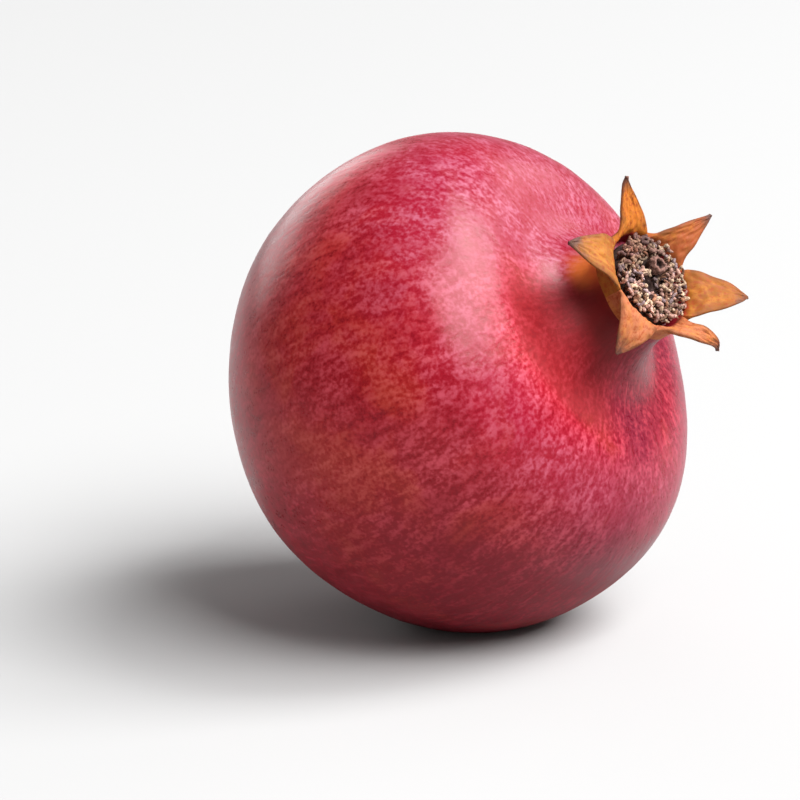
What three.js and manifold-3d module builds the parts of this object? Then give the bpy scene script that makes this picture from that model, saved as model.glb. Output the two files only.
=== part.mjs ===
// A whole pomegranate lying on its cheek with its crown raised towards +X.
// Millimetres, +Z up. The origin is on the table, straight below the middle of the body.
//
// Every piece is made in the fruit's own frame, whose origin is the middle of the body: +Z runs
// along the fruit's axis from stem to crown, +X points to the side that lies undermost, and
// angles round the axis start at +X and turn towards +Y. One group then tips the fruit over.

import * as THREE from 'three';
import { mergeVertices } from 'three/addons/utils/BufferGeometryUtils.js';
import Module from 'manifold-3d';

const wasm = await Module();
wasm.setup();

// ---------------------------------------------------------------- driving dimensions

const BODY_RADIUS = 50.1; // half the width across the fruit's equator
const STEM_DEPTH = 45.9; // equator to the stem end
const SHOULDER_RISE = 33.5; // equator to the crest of the shoulder
const SHOULDER_RADIUS = 24; // the crest's distance from the axis
const NECK_RADIUS = 10.8; // the waist below the crown
const RIM_HEIGHT = 50.1; // equator to the rim of the calyx cup, where its lobes part
const AXIS_RISE = 31.4; // degrees from the table up to the fruit's axis
const FLAT_SINK = 1.7; // how deep the resting spot is cut in
const PIECE_GAP = 0.3; // clearance between pieces that touch

// Fullness of the two long arcs of the body's outline, as a share of a square corner.
const LOWER_FULLNESS = 0.56;
const UPPER_FULLNESS = 0.6;
const NECK_HOLLOW = 0.45; // how flat the shoulder runs in towards the neck
const NECK_FLARE = 0.75; // how early the neck spreads out below its top

// The body isn't round: cheeks swell it (mm) in a few broad waves, each with its peak (degrees).
const CHEEKS = [
  { waves: 2, swell: 0.45, peak: 96 },
  { waves: 3, swell: 0.8, peak: 0 },
  { waves: 4, swell: 0.75, peak: 18 },
];
// Its equator and its shoulder lean a little, as a slope (mm per mm) towards an angle.
const BODY_LEAN = { slope: 0.068, towards: 185 };
const SHOULDER_LEAN = { slope: 0.051, towards: 307 };
const LEAN_START = 25; // the shoulder's lean grows up to this height
const CHEEK_FADE = [36, 46]; // cheeks and lean fade out over these heights, towards the neck
const NECK_RIDGE = 0.3; // height of the ridge that runs down the neck below each lobe
const RIDGE_FADE = [35, 43];
const CROWN_LEAN = { degrees: 6, towards: 255, bend: 41 }; // the neck bends over at this height

const DIMPLE_RADIUS = 8; // the sunk place round the stalk
const DIMPLE_DEPTH = 1.4;

// The crown's own frame has its origin at the middle of the rim and +Z out of the cup.
const CUP_DEPTH = 4.3; // rim to the floor of the cup
const CUP_RADIUS = 9; // at the floor
const RIM_INNER = 9.9; // inner radius of the rim
const RIM_OUTER = 11.1; // outer radius of the rim
const RIM_ROUND = 0.5; // the rim's rounding
const RIM_BEVEL = 0.1;
const RIM_NOTCH = 1.4; // how far the rim dips between two lobes

// Each lobe of the crown: the angle of its root, the reach (radius) and rise of its tip from the
// rim, the swing of the tip round the axis, the heading of the tip (degrees up from level, so a
// negative one curls back), its twist (degrees) and its breadth as a share of the others'.
const LOBES = [
  { angle: 172, reach: 19.3, rise: 6, swing: 9, heading: 46, twist: -6, breadth: 0.72 },
  { angle: 113, reach: 19.8, rise: 5.8, swing: -5, heading: 34, twist: 6, breadth: 0.6 },
  { angle: 56, reach: 22.1, rise: 4.2, swing: 3, heading: 4, twist: -8, breadth: 1 },
  { angle: -4, reach: 19.4, rise: 0.4, swing: 25, heading: -44, twist: 16, breadth: 0.58 },
  { angle: -64, reach: 18.9, rise: -4.6, swing: 6, heading: -50, twist: 4, breadth: 1 },
  { angle: -122, reach: 22.6, rise: 0, swing: -2, heading: -16, twist: -6, breadth: 1.05 },
];
const LOBE_HALF_WIDTH = 5.7;
const LOBE_TIP_HALF_WIDTH = 0.5;
const LOBE_ROOT_THICKNESS = 1.4;
const LOBE_TIP_THICKNESS = 0.8;
const LOBE_ROOT_DEPTH = 2.4; // how far the root is sunk into the tube
const LOBE_TROUGH = 0.6; // how far a lobe's edges stand above its midline
const LOBE_BOW = 5; // length of the stretches by which a lobe's root and tip steer its bend
const LOBE_FACETS = { across: 4, along: 8 };

const STAMEN_COUNT = 60;
const ANTHER_RADIUS = 0.95;
const FILAMENT_RADIUS = 0.36;
const STAMEN_LEVEL = 0; // mean height of the anthers from the rim
const STAMEN_GATHER = 0.8; // the filaments' feet stand this much closer together than the anthers
const BED_RISE = 3.3; // the matted bed that the stamens stand in, above the cup's floor

const STYLE_OFFSET = 3.3; // the style stands off the middle of the cup
const STYLE_ANGLE = 125;
const STYLE_RADIUS = 0.9;
const STIGMA_RADIUS = 1.8;
const STIGMA_PIT = 1; // radius of the pit in the stigma
const STIGMA_HEIGHT = 2.6;
const STIGMA_LEVEL = 1; // the height of its top above the rim
const STYLE_GROOVE = 3.4; // no stamen stands nearer to the style than this

const STALK_RADIUS = 2.5;
const STALK_LENGTH = 4.6;

const ROUND_STEPS = 60; // facets round the body
const ARC_STEPS = 12; // facets along each of the body's three arcs
const RIM_STEPS = 36; // facets round the calyx

const NECK_TOP = RIM_HEIGHT - CUP_DEPTH - PIECE_GAP; // where the rind ends

// ---------------------------------------------------------------- small helpers

const { cos, sin, atan2, hypot, sqrt, max, min, PI } = Math;
const radians = THREE.MathUtils.degToRad;
const { smoothstep, lerp, clamp } = THREE.MathUtils;

/** A point in the fruit's frame from its radius, its angle (radians) and its height. */
function polar(radius, angle, height) {
  return new THREE.Vector3(radius * cos(angle), radius * sin(angle), height);
}

/** Moves every vertex of a geometry to where shape(x, y, z) puts it. */
function reshape(geometry, shape) {
  const places = geometry.getAttribute('position');
  for (let i = 0; i < places.count; i += 1) {
    const place = shape(places.getX(i), places.getY(i), places.getZ(i));
    places.setXYZ(i, place.x, place.y, place.z);
  }
  return geometry;
}

/**
 * A lathe turned about +Z from an outline of [radius, height] pairs, whose vertices are placed by
 * shape(radius, angle, height).
 */
function turned(outline, steps, shape = polar) {
  const lathe = new THREE.LatheGeometry(outline.map((pair) => new THREE.Vector2(...pair)), steps);
  return reshape(lathe, (x, y, z) => shape(hypot(x, z), atan2(x, z), y));
}

/** A cubic curve through the plane of radius and height, from four [radius, height] pairs. */
function curveOf(...pairs) {
  return new THREE.CubicBezierCurve(...pairs.map((pair) => new THREE.Vector2(...pair)));
}

/** The geometry's vertices merged into one closed solid. */
function solidOf(geometry) {
  geometry.deleteAttribute('normal');
  geometry.deleteAttribute('uv');
  const merged = mergeVertices(geometry, 1e-4);
  return new wasm.Manifold(new wasm.Mesh({
    numProp: 3,
    vertProperties: new Float32Array(merged.getAttribute('position').array),
    triVerts: new Uint32Array(merged.getIndex().array),
  }));
}

/** A solid's surface as a three.js geometry. */
function geometryOf(solid) {
  const mesh = solid.getMesh();
  const geometry = new THREE.BufferGeometry();
  geometry.setAttribute('position', new THREE.BufferAttribute(mesh.vertProperties, 3));
  geometry.setIndex(new THREE.BufferAttribute(mesh.triVerts, 1));
  geometry.computeVertexNormals();
  return geometry;
}

/** One named piece with its own finish. */
function piece(name, solid, color, roughness) {
  const finish = new THREE.MeshStandardMaterial({ color, roughness, metalness: 0 });
  const mesh = new THREE.Mesh(geometryOf(solid), finish);
  mesh.name = name;
  return mesh;
}

/** Repeatable random numbers between 0 and 1. */
function seededRandom(seed) {
  let state = seed;
  return () => {
    state = (state * 16807) % 2147483647;
    return state / 2147483647;
  };
}

// ---------------------------------------------------------------- the body

const leanAxis = polar(1, radians(CROWN_LEAN.towards + 90), 0);
const neckBend = new THREE.Vector3(0, 0, CROWN_LEAN.bend);

/** Turns a point of the neck over about its bend, by a share of the crown's lean. */
function leaned(place, share) {
  return place.sub(neckBend).applyAxisAngle(leanAxis, radians(CROWN_LEAN.degrees) * share).add(neckBend);
}

/** A wave round the axis that is 1 at its peak (degrees). */
function wave(waves, angle, peak) {
  return cos(waves * (angle - radians(peak)));
}

/** A wave round the crown that is 1 below each lobe and -1 between two. */
function lobeWave(angle) {
  return wave(LOBES.length, angle, LOBES[0].angle);
}

/** The body's half outline, from the stem end over the equator and shoulder to the neck. */
function bodyOutline() {
  const stemEnd = [0, -STEM_DEPTH];
  const equator = [BODY_RADIUS, 0];
  const crest = [SHOULDER_RADIUS, SHOULDER_RISE];
  const neckTop = [NECK_RADIUS, NECK_TOP];
  const arcs = [
    curveOf(
      stemEnd,
      [LOWER_FULLNESS * BODY_RADIUS, -STEM_DEPTH],
      [BODY_RADIUS, -LOWER_FULLNESS * STEM_DEPTH],
      equator,
    ),
    curveOf(
      equator,
      [BODY_RADIUS, UPPER_FULLNESS * SHOULDER_RISE],
      [lerp(SHOULDER_RADIUS, BODY_RADIUS, UPPER_FULLNESS), SHOULDER_RISE],
      crest,
    ),
    curveOf(
      crest,
      [lerp(SHOULDER_RADIUS, NECK_RADIUS, NECK_HOLLOW), SHOULDER_RISE],
      [NECK_RADIUS, lerp(NECK_TOP, SHOULDER_RISE, NECK_FLARE)],
      neckTop,
    ),
  ];
  const points = arcs.flatMap((arc) => arc.getPoints(ARC_STEPS).slice(0, -1));
  return [...points.map((point) => point.toArray()), neckTop, [0, NECK_TOP]];
}

/** Where the skin is, for a point of the round outline. */
function skin(radius, angle, height) {
  const fade = 1 - THREE.MathUtils.mapLinear(clamp(height, ...CHEEK_FADE), ...CHEEK_FADE, 0, 1);
  const swell = CHEEKS.reduce((sum, cheek) => sum + cheek.swell * wave(cheek.waves, angle, cheek.peak), 0);
  const ridge = NECK_RIDGE * smoothstep(height, ...RIDGE_FADE) * lobeWave(angle);
  const lean = BODY_LEAN.slope * wave(1, angle, BODY_LEAN.towards)
    + SHOULDER_LEAN.slope * wave(1, angle, SHOULDER_LEAN.towards) * smoothstep(height, 0, LEAN_START);
  const dimple = height < 0 ? DIMPLE_DEPTH * (1 - smoothstep(radius, 0, DIMPLE_RADIUS)) : 0;
  const width = radius * (1 + (fade * swell) / BODY_RADIUS + ridge / NECK_RADIUS);
  const place = polar(width, angle, height + radius * fade * lean + dimple);
  return leaned(place, smoothstep(height, SHOULDER_RISE, NECK_TOP));
}

const layOver = radians(90 - AXIS_RISE); // turn about +Y that lays the fruit on its cheek

/** The height of the body's middle above the table, from the lowest point of its skin. */
function middleHeight(skinned) {
  const up = new THREE.Vector3(-sin(layOver), 0, cos(layOver));
  const places = skinned.getAttribute('position');
  let lowest = 0;
  for (let i = 0; i < places.count; i += 1) {
    lowest = min(lowest, new THREE.Vector3().fromBufferAttribute(places, i).dot(up));
  }
  return -lowest - FLAT_SINK;
}

const body = turned(bodyOutline(), ROUND_STEPS, skin);
const bodyHeight = middleHeight(body);

/** The body with its resting spot cut flat at the table. */
function rind() {
  const table = new THREE.BoxGeometry(4 * BODY_RADIUS, 4 * BODY_RADIUS, BODY_RADIUS);
  table.translate(0, 0, -BODY_RADIUS / 2 - bodyHeight);
  table.rotateY(-layOver);
  return solidOf(body).subtract(solidOf(table));
}

// ---------------------------------------------------------------- the crown

/** A point of the cup, whose rim dips between the lobes. */
function scalloped(radius, angle, height) {
  const dip = RIM_NOTCH * smoothstep(height, -CUP_DEPTH, 0) * (1 - lobeWave(angle)) / 2;
  return polar(radius, angle, height - dip);
}

/** The short tube between the neck and the lobes. */
function calyxTube() {
  const outline = [
    [CUP_RADIUS, -CUP_DEPTH],
    [NECK_RADIUS, -CUP_DEPTH],
    [lerp(NECK_RADIUS, RIM_OUTER, 0.4), -CUP_DEPTH / 2],
    [RIM_OUTER, -RIM_ROUND],
    [RIM_OUTER - RIM_ROUND, 0],
    [RIM_INNER + RIM_BEVEL, -RIM_BEVEL],
    [RIM_INNER - RIM_BEVEL, -RIM_ROUND],
    [CUP_RADIUS, -CUP_DEPTH],
  ];
  return solidOf(turned(outline, RIM_STEPS, scalloped));
}

/** One lobe: a thick pointed blade rooted in the tube, its edges raised, its tip bent and twisted. */
function lobe({ angle, reach, rise, swing, heading, twist, breadth }) {
  const rootRadius = (RIM_INNER + RIM_OUTER) / 2;
  const slope = radians(heading);
  const midline = curveOf(
    [rootRadius, -LOBE_ROOT_DEPTH],
    [rootRadius + 0.1 * LOBE_BOW, 0.3 * LOBE_BOW],
    [reach - LOBE_BOW * cos(slope), rise - LOBE_BOW * sin(slope)],
    [reach, rise],
  );
  const blade = new THREE.BoxGeometry(2, 1, 1, LOBE_FACETS.across, 1, LOBE_FACETS.along);
  return solidOf(reshape(blade, (across, face, z) => {
    const along = z + 0.5;
    const spot = midline.getPoint(along);
    const tangent = midline.getTangent(along);
    const taper = (1 - along) ** 0.8 * (1 + 0.6 * along); // full near the root, then pointed
    const share = breadth ** lerp(0.5, 1, along); // a narrow lobe is less so at its root
    const halfWidth = max(LOBE_TIP_HALF_WIDTH, LOBE_HALF_WIDTH * share * taper);
    const thickness = lerp(LOBE_ROOT_THICKNESS, LOBE_TIP_THICKNESS, along);
    const free = smoothstep(along, 0.15, 1); // the root doesn't swing or twist
    const turn = radians(twist) * free;
    const aside = across * halfWidth;
    const lift = face * thickness + LOBE_TROUGH * across ** 2 * smoothstep(along, 0.1, 0.4) * taper;
    const sideways = aside * cos(turn) - lift * sin(turn);
    const inward = aside * sin(turn) + lift * cos(turn);
    const bearing = angle + swing * free;
    const place = polar(spot.x - tangent.y * inward, radians(bearing), spot.y + tangent.x * inward);
    return place.addScaledVector(polar(1, radians(bearing + 90), 0), sideways);
  }));
}

/** The calyx: tube and lobes grown together. */
function calyx() {
  return LOBES.map(lobe).reduce((whole, blade) => whole.add(blade), calyxTube());
}

// ---------------------------------------------------------------- inside the crown

/** The room inside the calyx, a little smaller than the cup. */
function cupRoom() {
  const wall = RIM_INNER - RIM_BEVEL - 2 * PIECE_GAP;
  const outline = [
    [0, -CUP_DEPTH],
    [CUP_RADIUS - PIECE_GAP, -CUP_DEPTH],
    [wall, -RIM_ROUND],
    [wall, CUP_DEPTH],
    [0, CUP_DEPTH],
  ];
  return solidOf(turned(outline, RIM_STEPS, scalloped));
}

const styleFoot = polar(STYLE_OFFSET, radians(STYLE_ANGLE), 0);

/** The style and its pitted stigma. */
function style() {
  const outline = [
    [0, -CUP_DEPTH],
    [STYLE_RADIUS, -CUP_DEPTH],
    [STYLE_RADIUS, STIGMA_LEVEL - STIGMA_HEIGHT],
    [STIGMA_RADIUS - 0.2, STIGMA_LEVEL - STIGMA_HEIGHT / 2],
    [STIGMA_RADIUS, STIGMA_LEVEL - STIGMA_HEIGHT / 4],
    [(STIGMA_RADIUS + STIGMA_PIT) / 2, STIGMA_LEVEL],
    [STIGMA_PIT, STIGMA_LEVEL - 0.4],
    [STIGMA_PIT - 0.3, STIGMA_LEVEL - 0.9],
    [0, STIGMA_LEVEL - 0.9],
  ];
  return solidOf(turned(outline, 12, (...place) => polar(...place).add(styleFoot)));
}

/** The room that the style takes up in the mat of stamens. */
function styleRoom() {
  const radius = STIGMA_RADIUS + PIECE_GAP;
  const outline = [[0, -CUP_DEPTH], [radius, -CUP_DEPTH], [radius, RIM_INNER], [0, RIM_INNER]];
  return solidOf(turned(outline, 12, (...place) => polar(...place).add(styleFoot)));
}

/** One dried stamen: a filament that rises from the bed to a lumpy anther. */
function stamen(place, random) {
  const filament = new THREE.CylinderGeometry(FILAMENT_RADIUS, FILAMENT_RADIUS * 1.3, 1, 4);
  const anther = new THREE.SphereGeometry(ANTHER_RADIUS, 5, 3);
  const foot = new THREE.Vector3(STAMEN_GATHER * place.x, STAMEN_GATHER * place.y, 1 - CUP_DEPTH);
  const head = place.clone().add(new THREE.Vector3(random() - 0.5, random() - 0.5, 0));
  const stretch = new THREE.Vector3(0.7 + 0.3 * random(), 1.3, 0.8 + 0.4 * random());
  const roll = new THREE.Euler(PI * random(), PI * random(), PI * random());
  filament.rotateX(PI / 2);
  reshape(filament, (x, y, z) => foot.clone().lerp(head, z + 0.5).add(new THREE.Vector3(x, y, 0)));
  reshape(anther, (...place) => new THREE.Vector3(...place).multiply(stretch).applyEuler(roll).add(head));
  return solidOf(filament).add(solidOf(anther));
}

/** The dried stamens, matted together over a low bed that fills the cup. */
function stamens() {
  const random = seededRandom(4211);
  const bed = [
    [0, -CUP_DEPTH],
    [CUP_RADIUS - 0.4, -CUP_DEPTH],
    [CUP_RADIUS - 0.2, BED_RISE - CUP_DEPTH - 0.7],
    [CUP_RADIUS - 2, BED_RISE - CUP_DEPTH],
    [0, BED_RISE - CUP_DEPTH],
  ];
  const goldenAngle = PI * (3 - sqrt(5));
  let mat = solidOf(turned(bed, 24));
  for (let i = 0; i < STAMEN_COUNT; i += 1) {
    const radius = (RIM_INNER - 1) * sqrt((i + 0.5) / STAMEN_COUNT);
    const place = polar(radius, i * goldenAngle, STAMEN_LEVEL + 1.6 * (random() - 0.5));
    if (hypot(place.x - styleFoot.x, place.y - styleFoot.y) < STYLE_GROOVE) continue;
    mat = mat.add(stamen(place, random));
  }
  return mat.intersect(cupRoom()).subtract(styleRoom());
}

// ---------------------------------------------------------------- the stem end

/** The clipped woody stalk in its dimple, with a flared foot and a rough cut end. */
function stemStub() {
  const foot = DIMPLE_DEPTH - STEM_DEPTH - 2 * PIECE_GAP;
  const outline = [
    [0, foot - STALK_LENGTH],
    [STALK_RADIUS - 0.5, foot - STALK_LENGTH],
    [STALK_RADIUS, foot - STALK_LENGTH + 0.5],
    [STALK_RADIUS - 0.2, foot - STALK_LENGTH / 2],
    [STALK_RADIUS + 0.7, foot - 0.7],
    [STALK_RADIUS + 0.5, foot],
    [0, foot],
  ];
  return solidOf(turned(outline, 14, (radius, angle, height) => {
    const slant = 0.2 * radius * wave(1, angle, 70) * smoothstep(foot - height, 0, STALK_LENGTH);
    return polar(radius * (1 + 0.06 * wave(5, angle, 20)), angle, height + slant);
  }));
}

// ---------------------------------------------------------------- the whole fruit

const crown = new THREE.Group();
crown.position.copy(leaned(new THREE.Vector3(0, 0, RIM_HEIGHT), 1));
crown.quaternion.setFromAxisAngle(leanAxis, radians(CROWN_LEAN.degrees));
crown.add(
  piece('calyx', calyx(), '#c07a36', 0.6),
  piece('stamens', stamens(), '#8d7166', 0.9),
  piece('style', style(), '#6f5553', 0.85),
);

const fruit = new THREE.Group();
fruit.rotation.y = layOver;
fruit.position.z = bodyHeight;
fruit.add(piece('rind', rind(), '#a8243a', 0.42), piece('stem_stub', stemStub(), '#6a4f33', 0.9), crown);

const pomegranate = new THREE.Group();
pomegranate.add(fruit);

export default pomegranate;
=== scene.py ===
"""A whole pomegranate lying on its cheek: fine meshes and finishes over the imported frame.

Lengths are millimetres up to the moment a mesh is made, and metres in Blender. Fields hold angles in
degrees and arrays hold them in radians. The body's own frame has its origin in the middle of the
body and +Z along the fruit's axis from stem to crown; the crown's own frame has its origin in the
middle of the rim and +Z out of the cup.
"""

from __future__ import annotations

import logging
from dataclasses import dataclass
from enum import Enum
from math import cos, pi, radians, sin, sqrt
from typing import Sequence, Union

import bmesh
import bpy
import numpy as np
from mathutils import Color, Matrix, Vector


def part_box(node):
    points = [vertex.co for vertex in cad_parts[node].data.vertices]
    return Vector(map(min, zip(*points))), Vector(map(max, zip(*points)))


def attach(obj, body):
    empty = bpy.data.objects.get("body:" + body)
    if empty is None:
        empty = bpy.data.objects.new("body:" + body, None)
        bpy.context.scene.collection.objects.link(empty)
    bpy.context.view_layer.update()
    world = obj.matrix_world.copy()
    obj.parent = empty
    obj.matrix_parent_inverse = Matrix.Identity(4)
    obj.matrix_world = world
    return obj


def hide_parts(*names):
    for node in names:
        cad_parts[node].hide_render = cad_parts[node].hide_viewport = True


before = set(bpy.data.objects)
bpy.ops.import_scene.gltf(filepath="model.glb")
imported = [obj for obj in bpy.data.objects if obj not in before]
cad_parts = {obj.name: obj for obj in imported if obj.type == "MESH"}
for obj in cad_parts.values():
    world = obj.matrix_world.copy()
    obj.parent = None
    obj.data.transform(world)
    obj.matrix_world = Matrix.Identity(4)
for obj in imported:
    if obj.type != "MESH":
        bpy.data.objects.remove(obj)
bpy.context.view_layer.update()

Array = np.ndarray
Faces = list[list[int]]
Limits = tuple[float, float]
Material = bpy.types.Material
Piece = bpy.types.Object
Socket = bpy.types.NodeSocket
Spot = tuple[float, float]
Value = Union[Socket, float]

MM = 0.001
ROOT = "root"
GOLDEN_ANGLE = pi * (3 - sqrt(5))
# The least length that a direction is divided by.
TINY = 1e-12
# The share of a side that a cut corner takes at each end.
CORNER_CUT = 0.25
# A direction that no filament follows, from which a tube's sides are counted.
TUBE_SEAM = (0.31, 0.86, 0.4)
# How many points the skin's height is measured at, round the body and along each curve.
MEASURED_AROUND = 120
MEASURED_ALONG = 60
# The places of the share and the two colours on Blender's mixing node, and that of its result.
MIX_INPUTS = (0, 6, 7)
MIX_OUTPUT = 2
FULL_BYTE = 255

log = logging.getLogger("pomegranate")


# ---------------------------------------------------------------- numbers and curves


def smooth(value: Array | float, start: float, end: float) -> Array:
    """A share that goes smoothly from 0 at the start to 1 at the end, which may lie below the start."""
    share = np.clip((np.asarray(value, dtype=float) - start) / (end - start), 0, 1)
    return share * share * (3 - 2 * share)


def blend(first: Array | float, second: Array | float, share: Array | float) -> Array:
    """The value that lies at a share of the way from the first to the second."""
    return first + (second - first) * share


def wave(count: int, angle: Array | float, peak: float) -> Array:
    """A wave round the axis that is 1 at its peak, given in degrees."""
    return np.cos(count * (angle - radians(peak)))


def stacked(*parts: Array | float) -> Array:
    """Numbers or grids of them, spread to one size and stacked along a new last axis."""
    return np.stack(np.broadcast_arrays(*parts), axis=-1)


def polar(radius: Array | float, angle: Array | float, height: Array | float) -> Array:
    """Points from radii, angles and heights, as an array whose last axis is x, y, z."""
    return stacked(radius * np.cos(angle), radius * np.sin(angle), height)


def unit(vectors: Array) -> Array:
    """The same directions at length 1."""
    return vectors / np.maximum(np.linalg.norm(vectors, axis=-1, keepdims=True), TINY)


def bezier(controls: Sequence[Sequence[float]], share: Array) -> Array:
    """Points of a cubic curve.

    Args:
        controls: Its four control points.
        share: How far along the curve each point lies, 0 to 1.

    Returns:
        The points, one for each share.
    """
    start, first_pull, last_pull, end = (np.array(control, dtype=float) for control in controls)
    gone = np.asarray(share, dtype=float)[..., None]
    left = 1 - gone
    pulls = first_pull * 3 * gone * left**2 + last_pull * 3 * gone**2 * left
    return start * left**3 + pulls + end * gone**3


def rounded(outline: Sequence[Sequence[float]], passes: int) -> Array:
    """An outline with its corners cut off and cut off again, so that it turns softly.

    Args:
        outline: Pairs of radius and height; the first and the last stay in place.
        passes: How many times the corners are cut.

    Returns:
        The finer outline as an array of pairs.
    """
    points = np.array(outline, dtype=float)
    for _ in range(passes):
        before, after = points[:-1], points[1:]
        cut = np.stack([blend(before, after, CORNER_CUT), blend(after, before, CORNER_CUT)], axis=1)
        points = np.concatenate([points[:1], cut.reshape(-1, points.shape[1]), points[-1:]])
    return points


def turned_out(outline: Array, steps: int) -> tuple[Array, Array, Array]:
    """The radii (a column), angles (a row) and heights (a column) of a body turned from its outline."""
    angle = (np.arange(steps) * 2 * pi / steps)[None]
    return outline[:, :1], angle, outline[:, 1:]


def turned_about(points: Array, axis: Array, angle: Array | float) -> Array:
    """Points turned about an axis through the origin.

    Args:
        points: The points, x, y, z along the last axis.
        axis: A direction of length 1.
        angle: The turn, one for all points or one for each.

    Returns:
        The turned points.
    """
    angle = np.asarray(angle, dtype=float)[..., None]
    along = (points @ axis)[..., None] * axis
    return points * np.cos(angle) + np.cross(axis, points) * np.sin(angle) + along * (1 - np.cos(angle))


class Ripple:
    """Soft lumps and hollows in space, the sum of many plane waves."""

    WAVES = 28
    LENGTHS = (0.7, 1.5)

    def __init__(self, height: float, size: float, seed: int) -> None:
        """Draws the waves.

        Args:
            height: How far the lumps usually stand out.
            size: The usual distance between two lumps.
            seed: Fixes the random draw.
        """
        random = np.random.default_rng(seed)
        directions = unit(random.normal(size=(self.WAVES, 3)))
        lengths = size * random.uniform(*self.LENGTHS, size=(self.WAVES, 1))
        self.rates = directions * 2 * pi / lengths
        self.phases = random.uniform(0, 2 * pi, size=self.WAVES)
        self.height = height / sqrt(self.WAVES)

    def __call__(self, points: Array) -> Array:
        """How far each point stands out."""
        return self.height * np.sin(points @ self.rates.T + self.phases).sum(axis=-1)


# ---------------------------------------------------------------- meshes


def grid_normals(points: Array, closed: bool) -> Array:
    """The directions square to a grid of points.

    Args:
        points: The grid, with rows along the first axis and columns along the second.
        closed: Whether the last column meets the first.

    Returns:
        A direction of length 1 for each point.
    """
    if closed:
        across = np.roll(points, -1, axis=1) - np.roll(points, 1, axis=1)
    else:
        across = np.gradient(points, axis=1)
    return unit(np.cross(across, np.gradient(points, axis=0)))


def grid_faces(rows: int, columns: int, closed: bool) -> Array:
    """Quads over a grid of points that are numbered row by row.

    Args:
        rows: How many rows there are.
        columns: How many points a row has.
        closed: Whether the last column meets the first.

    Returns:
        Four point numbers for each quad.
    """
    column = np.arange(columns if closed else columns - 1)
    after = (column + 1) % columns
    row = np.arange(rows - 1)[:, None] * columns
    corners = [row + column, row + after, row + columns + after, row + columns + column]
    return np.stack(corners, axis=-1).reshape(-1, 4)


class Shape:
    """Points and faces that grow part by part into one mesh, with values kept for the finish."""

    def __init__(self) -> None:
        """Starts with nothing in it."""
        self.points: list[Array] = []
        self.faces: Faces = []
        self.values: dict[str, list[Array]] = {}
        self.count = 0

    def add(self, points: Array, faces: Sequence[Sequence[int]], **values: Array | float) -> None:
        """Adds a part.

        Args:
            points: Its points.
            faces: Its faces, numbered from its own first point.
            values: A number, or a colour or vector of three, for each point or for all of them.
        """
        points = np.asarray(points, dtype=float).reshape(-1, 3)
        self.faces.extend((np.asarray(face) + self.count).tolist() for face in faces)
        for name, value in values.items():
            value = np.asarray(value, dtype=float)
            width = value.shape[-1:] if value.ndim and value.shape[-1] == 3 else ()
            self.values.setdefault(name, []).append(np.broadcast_to(value, (len(points), *width)))
        self.points.append(points)
        self.count += len(points)

    def add_turned(self, grid: Array, **values: Array) -> None:
        """Adds a body turned about its axis, whose first and last rows each draw together to a point.

        Args:
            grid: Points in rows from one end to the other, each row a closed round.
            values: Numbers that spread over the grid, or colours or vectors of three that do.
        """
        rows, columns = grid.shape[:2]
        first, last = rows * columns, rows * columns + 1
        faces = grid_faces(rows, columns, True).tolist()
        for column in range(columns):
            after = (column + 1) % columns
            faces.append([first, after, column])
            faces.append([last, (rows - 1) * columns + column, (rows - 1) * columns + after])
        kept = {"points": grid, **values}
        for name, value in kept.items():
            width = () if value.ndim == 2 else value.shape[-1:]
            value = np.broadcast_to(value, (rows, columns, *width))
            ends = [value[:1].mean(axis=1), value[-1:].mean(axis=1)]
            kept[name] = np.concatenate([value.reshape(rows * columns, *width), *ends])
        self.add(kept.pop("points"), faces, **kept)

    def build(self, name: str) -> Piece:
        """Makes the Blender object.

        Args:
            name: The name of the object and of its mesh.

        Returns:
            The object, linked to the scene and shaded smooth.
        """
        mesh = bpy.data.meshes.new(name)
        mesh.from_pydata((np.concatenate(self.points) * MM).tolist(), [], self.faces)
        for key, parts in self.values.items():
            value = np.concatenate(parts)
            vector = value.ndim == 2
            layer = mesh.attributes.new(key, "FLOAT_VECTOR" if vector else "FLOAT", "POINT")
            layer.data.foreach_set("vector" if vector else "value", value.ravel())
        mesh.polygons.foreach_set("use_smooth", [True] * len(mesh.polygons))
        mesh.validate()
        piece = bpy.data.objects.new(name, mesh)
        bpy.context.scene.collection.objects.link(piece)
        return piece


def tube(path: Array, radius: Array, sides: int) -> tuple[Array, Faces]:
    """A thin closed tube along a path.

    Args:
        path: The points of the path.
        radius: Its radius at each point.
        sides: How many sides it has.

    Returns:
        The points and the faces of the tube.
    """
    tangents = unit(np.gradient(path, axis=0))
    across = unit(np.cross(tangents, TUBE_SEAM))
    upward = np.cross(tangents, across)
    turn = (np.arange(sides) * 2 * pi / sides)[None, :, None]
    ring = across[:, None] * np.cos(turn) + upward[:, None] * np.sin(turn)
    points = (path[:, None] + ring * radius[:, None, None]).reshape(-1, 3)
    faces = grid_faces(len(path), sides, True)[:, ::-1].tolist()
    faces.append(list(range(sides)))
    faces.append(list(range(len(points) - 1, len(points) - 1 - sides, -1)))
    return points, faces


# ---------------------------------------------------------------- the form of the fruit


@dataclass(frozen=True)
class Waves:
    """Waves round an axis: how many there are, how high they are and the angle where one peaks."""

    count: int
    height: float
    peak: float

    def at(self, angle: Array) -> Array:
        """The height of the waves at each angle."""
        return self.height * wave(self.count, angle, self.peak)


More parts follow.
